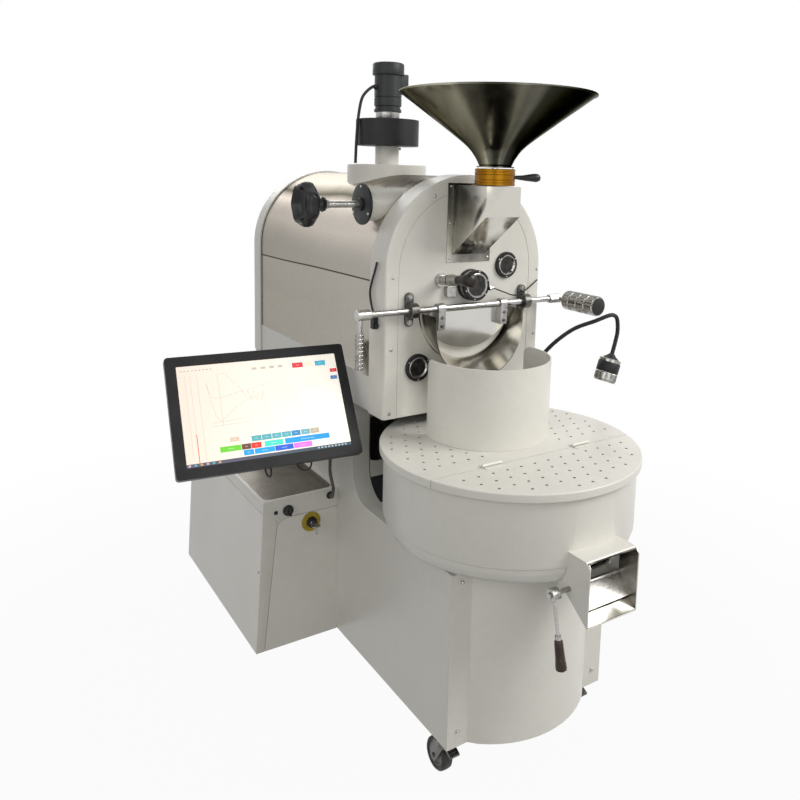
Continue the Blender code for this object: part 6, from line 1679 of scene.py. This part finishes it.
@dataclass
class Pedestal:
    """White pedestal with its step, front panel and the cabinet beside it."""

    cabinet_face: float = 0.540
    key_spot: tuple[float, float] = (-0.309, 0.434)
    knob_spot: tuple[float, float] = (-0.374, 0.480)
    grommet: Point = (-0.254, 0.0, 0.495)
    lens: Point = (-0.4066, 0.0, 0.455)
    step_round: tuple[float, float] = (0.380, 0.593)
    step_radius: float = 0.0797
    step_top: float = 0.7675
    step_half: float = 0.1805
    # Thickness of the dark sheet of painted shade on the step.
    liner: float = 0.0010
    screws_x: float = 0.203
    screws_z: tuple[float, float] = (0.145, 0.493)

    def build(self) -> None:
        """Softens the folded sheet pieces and adds their screws."""
        for node, finish, edge in (("pedestal_shell", WHITE, 0.0014),
                                   ("cabinet_shell", WHITE, 0.0014),
                                   ("cabinet_front_cover", WHITE, 0.0008),
                                   ("cabinet_tray", TRAY, 0.0010),
                                   ("monitor_arm", BLACK, 0.0008)):
            Form().copied(node).piece(f"{node}_skin", finish, node, bevel=edge)
        self.step()
        self.panel()
        self.controls()

    def step(self) -> None:
        """Lays a thin dark sheet of painted shade over the step behind the bin, down its fillet,
        round the bay.
        """
        r, near, top = self.step_radius, self.step_radius - self.liner, self.step_top
        back = self.step_round[0]
        outer = [(back + r, top), *bow(self.step_round, r, 0, -80, 20)]
        inner = [*bow(self.step_round, near, -80, 0, 20), (back + near, top)]
        bay = Form().block((-0.179, 0.40, 0.561), (0.179, 0.50, 0.729))
        # The dark sheet over the white step paints the shade between the bin and the pedestal.
        form = Form().plate(outer + inner, Axis.X, -self.step_half, self.step_half).less(bay)
        form.piece("step_shade_sheet", STEP_SHADE, angle=40)

    def panel(self) -> None:
        """Copies the front panel and drives its screws."""
        form = Form().copied("pedestal_front_panel")
        form.piece("front_panel", WHITE, "pedestal_front_panel", bevel=0.0008, angle=20)
        heads = Form()
        for x in (-self.screws_x, self.screws_x):
            for z in self.screws_z:
                heads.screw((x, -0.0030, z), (0, -1, 0), 0.0042, 0.0024)
        heads.screw((-0.4555, 0.5395, 0.330), (0, -1, 0), 0.0034, 0.0020)
        heads.piece("panel_screws", BRUSHED, angle=40)

    def controls(self) -> None:
        """Builds the key switch, its key, the selector and the data port."""
        (x, z), y = self.key_spot, self.cabinet_face
        disc = Form().turned([(0.0140, y - 0.0036), (0.0252, y - 0.0036), (0.0263, y - 0.0028),
                              (0.0263, y - 0.0001), (0.0140, y - 0.0001)], (x, 0, z), Axis.Y, 64)
        disc.piece("key_disc", YELLOW)
        switch = Form().turned([(0.0062, y - 0.0128), (0.0120, y - 0.0128), (0.0134, y - 0.0116),
                                (0.0142, y - 0.0037), (0.0142, y - 0.0001), (0.0062, y - 0.0001)],
                               (x, 0, z), Axis.Y, 48)
        switch.piece("key_switch", PLASTIC)
        lock = Form().turned([(0.0002, y - 0.0136), (0.0054, y - 0.0136), (0.0061, y - 0.0128),
                              (0.0061, y - 0.0040), (0.0002, y - 0.0040)], (x, 0, z), Axis.Y, 32)
        lock.piece("key_lock", CHROME)
        ring = Form()
        spots = [Vector((x + 0.25 * side, y - 0.036 + side, z - 0.0100 + up))
                 for up, side in round_spots(0.0105, 40)]
        ring.tube(spots, 0.0007, 10).piece("key_ring", CHROME, body="key")
        knob = (self.knob_spot[0], 0, self.knob_spot[1])
        dial = Form().turned([(0.0138, y - 0.0002), (0.0142, y - 0.0010), (0.0142, y - 0.0052),
                              (0.0120, y - 0.0058), (0.0108, y - 0.0108), (0.0100, y - 0.0112),
                              (0.0, y - 0.0112), (0.0, y - 0.0002)], knob, Axis.Y, 48)
        dial.piece("selector_dial", BAKELITE, body="selector")
        low = (knob[0] - 0.0036, y - 0.0204, knob[2] - 0.0098)
        high = (knob[0] + 0.0036, y - 0.0060, knob[2] + 0.0098)
        grip = Form().block(low, high)
        grip.piece("selector_grip", BAKELITE, "selector_knob", body="selector", bevel=0.0016,
                   segments=3)
        port = Form().plate(soft_corners((-0.4112, 0.4748), (-0.4018, 0.4842), 0.0012), Axis.Y,
                            y - 0.0014, y + 0.0002)
        port.piece("data_port", PLASTIC, bevel=0.0004)
        grommet = Form().turned([(0.0044, y - 0.0022), (0.0098, y - 0.0022), (0.0104, y - 0.0014),
                                 (0.0104, y - 0.0001), (0.0088, y + 0.0060), (0.0044, y + 0.0060)],
                                self.grommet, Axis.Y, 40)
        grommet.piece("cable_grommet", BLACK_RUBBER)
        mark = Form().bar(self.lens, Axis.Y, 0.0024, y - 0.0012, y + 0.0001, 24)
        mark.piece("pilot_lens", CHROME)


@dataclass
class Monitor:
    """Tilting screen with a lit picture of plain tiles and curves."""

    half_width: float = 0.190
    half_height: float = 0.1165
    glass: float = -0.0014
    centre: Point = (-0.479, 0.418, 0.806)
    yaw: float = math.radians(-6)
    lean: float = math.radians(56.5)
    tiles: tuple[tuple[float, float, float, float, Colour], ...] = (
        (0.707, 0.777, 0.88, 0.934, (0.72, 0.03, 0.06)),
        (0.79, 0.842, 0.885, 0.928, (0.93, 0.8, 0.62)),
        (0.858, 0.928, 0.88, 0.934, (0.05, 0.42, 0.62)),
        (0.949, 0.995, 0.795, 0.835, (0.72, 0.04, 0.06)),
        (0.945, 0.99, 0.716, 0.756, (0.08, 0.22, 0.5)),
        (0.26, 0.315, 0.195, 0.238, (0.62, 0.5, 0.38)),
        (0.387, 0.446, 0.172, 0.226, (0.1, 0.38, 0.42)),
        (0.449, 0.508, 0.172, 0.226, (0.1, 0.38, 0.42)),
        (0.511, 0.568, 0.172, 0.226, (0.11, 0.4, 0.46)),
        (0.571, 0.629, 0.172, 0.226, (0.11, 0.4, 0.46)),
        (0.632, 0.688, 0.172, 0.226, (0.03, 0.24, 0.48)),
        (0.692, 0.748, 0.172, 0.226, (0.15, 0.42, 0.5)),
        (0.751, 0.808, 0.172, 0.226, (0.5, 0.42, 0.32)),
        (0.197, 0.32, 0.104, 0.158, (0.14, 0.55, 0.03)),
        (0.323, 0.378, 0.104, 0.158, (0.13, 0.05, 0.03)),
        (0.38, 0.44, 0.104, 0.158, (0.72, 0.03, 0.02)),
        (0.46, 0.573, 0.104, 0.158, (0.06, 0.68, 0.52)),
        (0.585, 0.868, 0.104, 0.158, (0.01, 0.32, 0.72)),
        (0.33, 0.39, 0.046, 0.098, (0.01, 0.32, 0.68)),
        (0.395, 0.517, 0.046, 0.098, (0.01, 0.34, 0.74)),
        (0.519, 0.631, 0.046, 0.098, (0.02, 0.11, 0.62)),
        (0.634, 0.749, 0.046, 0.098, (0.72, 0.18, 0.75)))
    curves: tuple[tuple[tuple[float, float], ...], ...] = (
        ((0.165, 0.82), (0.172, 0.72), (0.185, 0.66), (0.21, 0.645), (0.26, 0.65), (0.36, 0.69),
         (0.46, 0.72), (0.58, 0.76)),
        ((0.165, 0.80), (0.178, 0.62), (0.20, 0.47), (0.222, 0.405), (0.26, 0.45), (0.33, 0.54),
         (0.40, 0.60), (0.455, 0.62)),
        ((0.25, 0.90), (0.29, 0.885), (0.315, 0.81), (0.345, 0.77), (0.37, 0.70), (0.39, 0.62),
         (0.405, 0.69), (0.42, 0.60), (0.44, 0.68), (0.455, 0.58), (0.47, 0.66), (0.485, 0.57),
         (0.495, 0.66)),
        ((0.045, 0.90), (0.045, 0.06)), ((0.075, 0.90), (0.075, 0.05)),
        ((0.115, 0.90), (0.115, 0.05)),
        ((0.235, 0.90), (0.235, 0.36)), ((0.50, 0.80), (0.50, 0.22)),
        ((0.17, 0.40), (0.40, 0.42)), ((0.17, 0.365), (0.41, 0.375)))

    @property
    def seat(self) -> Matrix:
        """The screen's place: x to the right, y up the glass, z out of it."""
        return (Matrix.Translation(self.centre) @ Matrix.Rotation(self.yaw, 4, "Z")
                @ Matrix.Rotation(self.lean, 4, "X"))

    def spot(self, u: float, v: float) -> Vector:
        """A place on the picture, from shares of its width and height."""
        return Vector(((2 * u - 1) * self.half_width, (2 * v - 1) * self.half_height, 0.0))

    def picture(self) -> Form:
        """Lays the picture out of small tinted tiles."""
        form = Form()
        tint = form.bm.loops.layers.float_color.new("tint")

        def tile(middle_of: Vector, wide: float, high: float, turn: float, lift: float,
                 colour: Colour) -> None:
            """Adds one flat tile and tints it."""
            place = (Matrix.Translation((middle_of.x, middle_of.y, self.glass + lift))
                     @ Matrix.Rotation(turn, 4, "Z") @ Matrix.Diagonal((wide / 2, high / 2, 1, 1)))
            made = bmesh.ops.create_grid(form.bm, x_segments=1, y_segments=1, size=1.0,
                                         matrix=place)
            for face in {f for v in made["verts"] for f in v.link_faces}:
                for loop in face.loops:
                    loop[tint] = (*colour, 1.0)

        def patch(u0: float, u1: float, v0: float, v1: float, lift: float, colour: Colour) -> None:
            """Adds a tile between shares of the picture."""
            low, high = self.spot(u0, v0), self.spot(u1, v1)
            tile((low + high) / 2, high.x - low.x, high.y - low.y, 0.0, lift, colour)

        columns = 24
        for k in range(columns):
            share = k / (columns - 1)
            warm = (0.78 + 0.18 * share, 0.66 + 0.26 * share, 0.57 + 0.26 * share)
            patch(k / columns, (k + 1) / columns, 0.0, 1.0, 0.0, warm)
            dark = (0.10 - 0.07 * share, 0.08, 0.13 - 0.03 * share)
            patch(k / columns, (k + 1) / columns, 0.0, 0.034, 0.0001, dark)
        for u0, u1, v0, v1, colour in self.tiles:
            patch(u0, u1, v0, v1, 0.0001, colour)
            patch(u0 + 0.35 * (u1 - u0), u1 - 0.35 * (u1 - u0), (v0 + v1) / 2 - 0.004,
                  (v0 + v1) / 2 + 0.004, 0.0002, tuple(0.75 * c + 0.25 for c in colour))
        for curve in self.curves:
            for (ua, va), (ub, vb) in zip(curve, curve[1:]):
                a, b = self.spot(ua, va), self.spot(ub, vb)
                way = b - a
                tile((a + b) / 2, way.length, 0.0006, math.atan2(way.y, way.x), 0.0001,
                     (0.42, 0.40, 0.38))
        for k in range(9):
            patch(0.02 + 0.022 * k, 0.032 + 0.022 * k, 0.944, 0.953, 0.0001, (0.45, 0.38, 0.33))
            patch(0.78 + 0.022 * k, 0.792 + 0.022 * k, 0.010, 0.024, 0.0002, (0.45, 0.5, 0.6))
        for k in range(6):
            patch(0.01 + 0.034 * k, 0.024 + 0.034 * k, 0.008, 0.027, 0.0002,
                  ((0.5, 0.4, 0.4), (0.05, 0.4, 0.4), (0.5, 0.35, 0.12))[k % 3])
        patch(0.073, 0.077, 0.02, 0.31, 0.0002, (0.72, 0.08, 0.03))
        for k in range(4):
            patch(0.45 + 0.055 * k, 0.48 + 0.055 * k, 0.90, 0.925, 0.0001, (0.55, 0.50, 0.42))
        return form

    def build(self) -> None:
        """Builds the screen's case and picture."""
        case = Form().copied("monitor_case")
        case.piece("screen_case", CASE, "monitor_case", body="monitor", bevel=0.0016, segments=3)
        hooks = Form()
        for x, wide, deep in ((-0.010, 0.0065, 0.0165), (0.0756, 0.0165, 0.0150)):
            rough = [(x - wide, -0.1360, -0.026), (x - wide, -0.1420, -0.026),
                     (x - wide * 0.6, -0.1405 - deep * 0.8, -0.024), (x, -0.1405 - deep, -0.022),
                     (x + wide * 0.6, -0.1405 - deep * 0.8, -0.024), (x + wide, -0.1420, -0.026),
                     (x + wide, -0.1360, -0.026)]
            hooks.tube(eased(rough, 5), 0.0021, 12)
        hooks.placed(self.seat).piece("screen_hooks", BLACK, body="monitor", slot="black_plastic",
                                      angle=60)
        shown = self.picture().placed(self.seat)
        shown.piece("screen_picture", SCREEN, body="monitor")


@dataclass
class Cables:
    """The cables that run free between two pieces of the roaster."""

    motor: tuple[Point, ...] = (
        (-0.0453, 0.710, 1.5910), (-0.0493, 0.710, 1.5910), (-0.0677, 0.710, 1.5774),
        (-0.0834, 0.710, 1.5560), (-0.0923, 0.710, 1.5164), (-0.0974, 0.710, 1.4667),
        (-0.1002, 0.710, 1.4147), (-0.1013, 0.710, 1.3771))
    screen: tuple[Point, ...] = (
        (-0.254, 0.5502, 0.495), (-0.254, 0.5374, 0.495), (-0.254, 0.5262, 0.495),
        (-0.262, 0.5048, 0.5302), (-0.2716, 0.5048, 0.5798), (-0.2556, 0.532, 0.6457),
        (-0.2436, 0.560, 0.6697), (-0.2436, 0.560, 0.6857))
    probe: tuple[Point, ...] = (
        (0.0571, 0.2647, 1.0750), (0.0991, 0.2720, 1.0605), (0.1410, 0.2793, 1.0490),
        (0.1830, 0.2866, 1.0594), (0.2218, 0.2933, 1.0798), (0.2250, 0.2939, 1.0830))

    def lay(self, name: str, node: str, route: tuple[Point, ...], radius: float,
            finish: Finish = BLACK_RUBBER) -> None:
        """Args:
            name: the piece's name.
            node: the CAD node that it stands for.
            route: the points that it passes.
            radius: its radius.
            finish: its finish.
        """
        line = eased(list(route), 6)
        cable = Form().tube(line, radius, 14)
        made = cable.piece(name, finish, node, angle=60)
        length = sum((b - a).length for a, b in zip(line, line[1:]))
        world = [tuple(p + SHIFT) for p in line]

    def build(self) -> None:
        """Lays all three."""
        self.lay("blower_cable", "motor_cable", self.motor, 0.0042)
        self.lay("display_cable", "screen_cable", self.screen, 0.0042, GREY_RUBBER)
        self.lay("sensor_wire", "probe_wire", self.probe, 0.0016)


class CadFinishes:
    """Dresses every CAD node that no piece stands for."""

    def dress(self) -> None:
        """Gives each node its finish."""
        paint(BLACK, "base_floor_pan", "drum")
        paint(MOTOR_GREY, "drum_gearmotor", "exhaust_impeller")
        paint(BRUSHED, "mode_key", "heating_element", "bin_screen_floor", "bin_stirrer",
              "outlet_gate", "trier")
        paint(PLASTIC, "valve_lever", "cooling_fan")


@dataclass
class Studio:
    """Pale floor, soft lamps and the camera at the photograph's viewing angle."""

    eye: Point = (-0.98882, -1.7019, 1.3571)
    yaw: float = math.radians(33.633)
    pitch: float = math.radians(-7.826)
    roll: float = math.radians(1.531)
    lens: float = 34.67
    shift: tuple[float, float] = (-0.0461, -0.1521)
    room: float = 0.44
    lamps: tuple[tuple[str, Point, float, float, float, Colour], ...] = (
        ("key", (2.4, -2.6, 3.4), 0.8, 2.2, 124.0, (1.0, 0.99, 0.96)),
        ("fill", (-3.4, -1.6, 2.4), 0.8, 2.6, 30.0, (1.0, 1.0, 1.0)),
        ("front", (-0.5, -3.8, 1.5), 0.7, 2.4, 20.0, (1.0, 0.985, 0.95)),
        ("back", (0.6, 3.4, 3.2), 1.0, 2.6, 50.0, (1.0, 1.0, 1.0)))

    def camera(self) -> None:
        """Sets up the camera."""
        data = bpy.data.cameras.new("camera")
        data.sensor_width = 36.0
        data.lens = self.lens
        data.shift_x, data.shift_y = self.shift
        data.clip_start, data.clip_end = 0.01, 60.0
        camera = bpy.data.objects.new("camera", data)
        forward = Vector((math.sin(self.yaw) * math.cos(self.pitch),
                          math.cos(self.yaw) * math.cos(self.pitch), math.sin(self.pitch)))
        level = Vector((math.cos(self.yaw), -math.sin(self.yaw), 0.0))
        over = level.cross(forward)
        right = math.cos(self.roll) * level + math.sin(self.roll) * over
        up = -math.sin(self.roll) * level + math.cos(self.roll) * over
        turn = Matrix((right, up, -forward)).transposed().to_4x4()
        camera.matrix_world = Matrix.Translation(self.eye) @ turn
        bpy.context.scene.collection.objects.link(camera)
        bpy.context.scene.camera = camera

    @staticmethod
    def lamp(name: str, spot: Point, aim: float, size: float, power: float,
             colour: Colour) -> None:
        """Adds one soft area lamp.

        Args:
            name: the lamp's name.
            spot: where it hangs.
            aim: the height on the middle axis that it faces.
            size: its side in metres.
            power: its watts.
            colour: its tint.
        """
        data = bpy.data.lights.new(name, "AREA")
        data.size = size
        data.energy = power
        data.color = colour
        lamp = bpy.data.objects.new(name, data)
        way = Vector((0.0, 0.0, aim)) - Vector(spot)
        lamp.matrix_world = (Matrix.Translation(spot)
                             @ way.to_track_quat("-Z", "Y").to_matrix().to_4x4())
        bpy.context.scene.collection.objects.link(lamp)

    def floor(self) -> None:
        """Lays the floor, white to the camera with the machine's shadow kept."""
        bm = bmesh.new()
        bmesh.ops.create_grid(bm, x_segments=8, y_segments=8, size=14.0)
        mesh = bpy.data.meshes.new("floor")
        bm.to_mesh(mesh)
        bm.free()
        plane = bpy.data.objects.new("floor", mesh)
        bpy.context.scene.collection.objects.link(plane)
        s = Shader(bpy.data.materials.new("floor"))
        pale = s.node("ShaderNodeBsdfDiffuse", None, {"Color": (0.16, 0.16, 0.155, 1.0)})
        glow = s.node("ShaderNodeEmission", None, {"Color": (1.0, 1.0, 1.0, 1.0), "Strength": 1.0})
        away = s.node("ShaderNodeVectorMath", {"operation": "LENGTH"}, {0: s.place()}, output=1)
        seen = s.rays("Camera", "Glossy") * s.level(away, 0.7, 2.4, 0.955, 1.0)
        s.end(s.node("ShaderNodeMixShader", None, {0: seen, 1: pale, 2: glow}))
        mesh.materials.append(s.owner)

    def world(self) -> None:
        """Fills the room with even light and shows it white."""
        s = Shader(bpy.data.worlds.new("room"))
        bpy.context.scene.world = s.owner
        room = s.node("ShaderNodeBackground", None,
                      {"Color": (1.0, 0.99, 0.97, 1.0), "Strength": self.room})
        white = s.node("ShaderNodeBackground", None,
                       {"Color": (1.0, 1.0, 1.0, 1.0), "Strength": 1.0})
        seen = s.rays("Camera", "Glossy", "Transmission")
        s.end(s.node("ShaderNodeMixShader", None, {0: seen, 1: room, 2: white}),
              "ShaderNodeOutputWorld")

    def build(self) -> None:
        """Sets up the whole studio."""
        self.camera()
        self.floor()
        self.world()
        for lamp in self.lamps:
            self.lamp(*lamp)
        bpy.context.scene.view_settings.view_transform = "Standard"


def main() -> None:
    """Builds and dresses the whole roaster."""
    logging.basicConfig(level=logging.INFO, format="%(message)s")
    Studio().build()
    CadFinishes().dress()
    for assembly in (Hopper(), Feed(), CoolingBin(), Head(), FaceFittings(), DoorGear(), Spout(),
                     Outlet(), Exhaust(), Damper(), Lamp(), Casters(), Pedestal(), Monitor(),
                     Cables()):
        assembly.build()


if __name__ == "__main__":
    main()
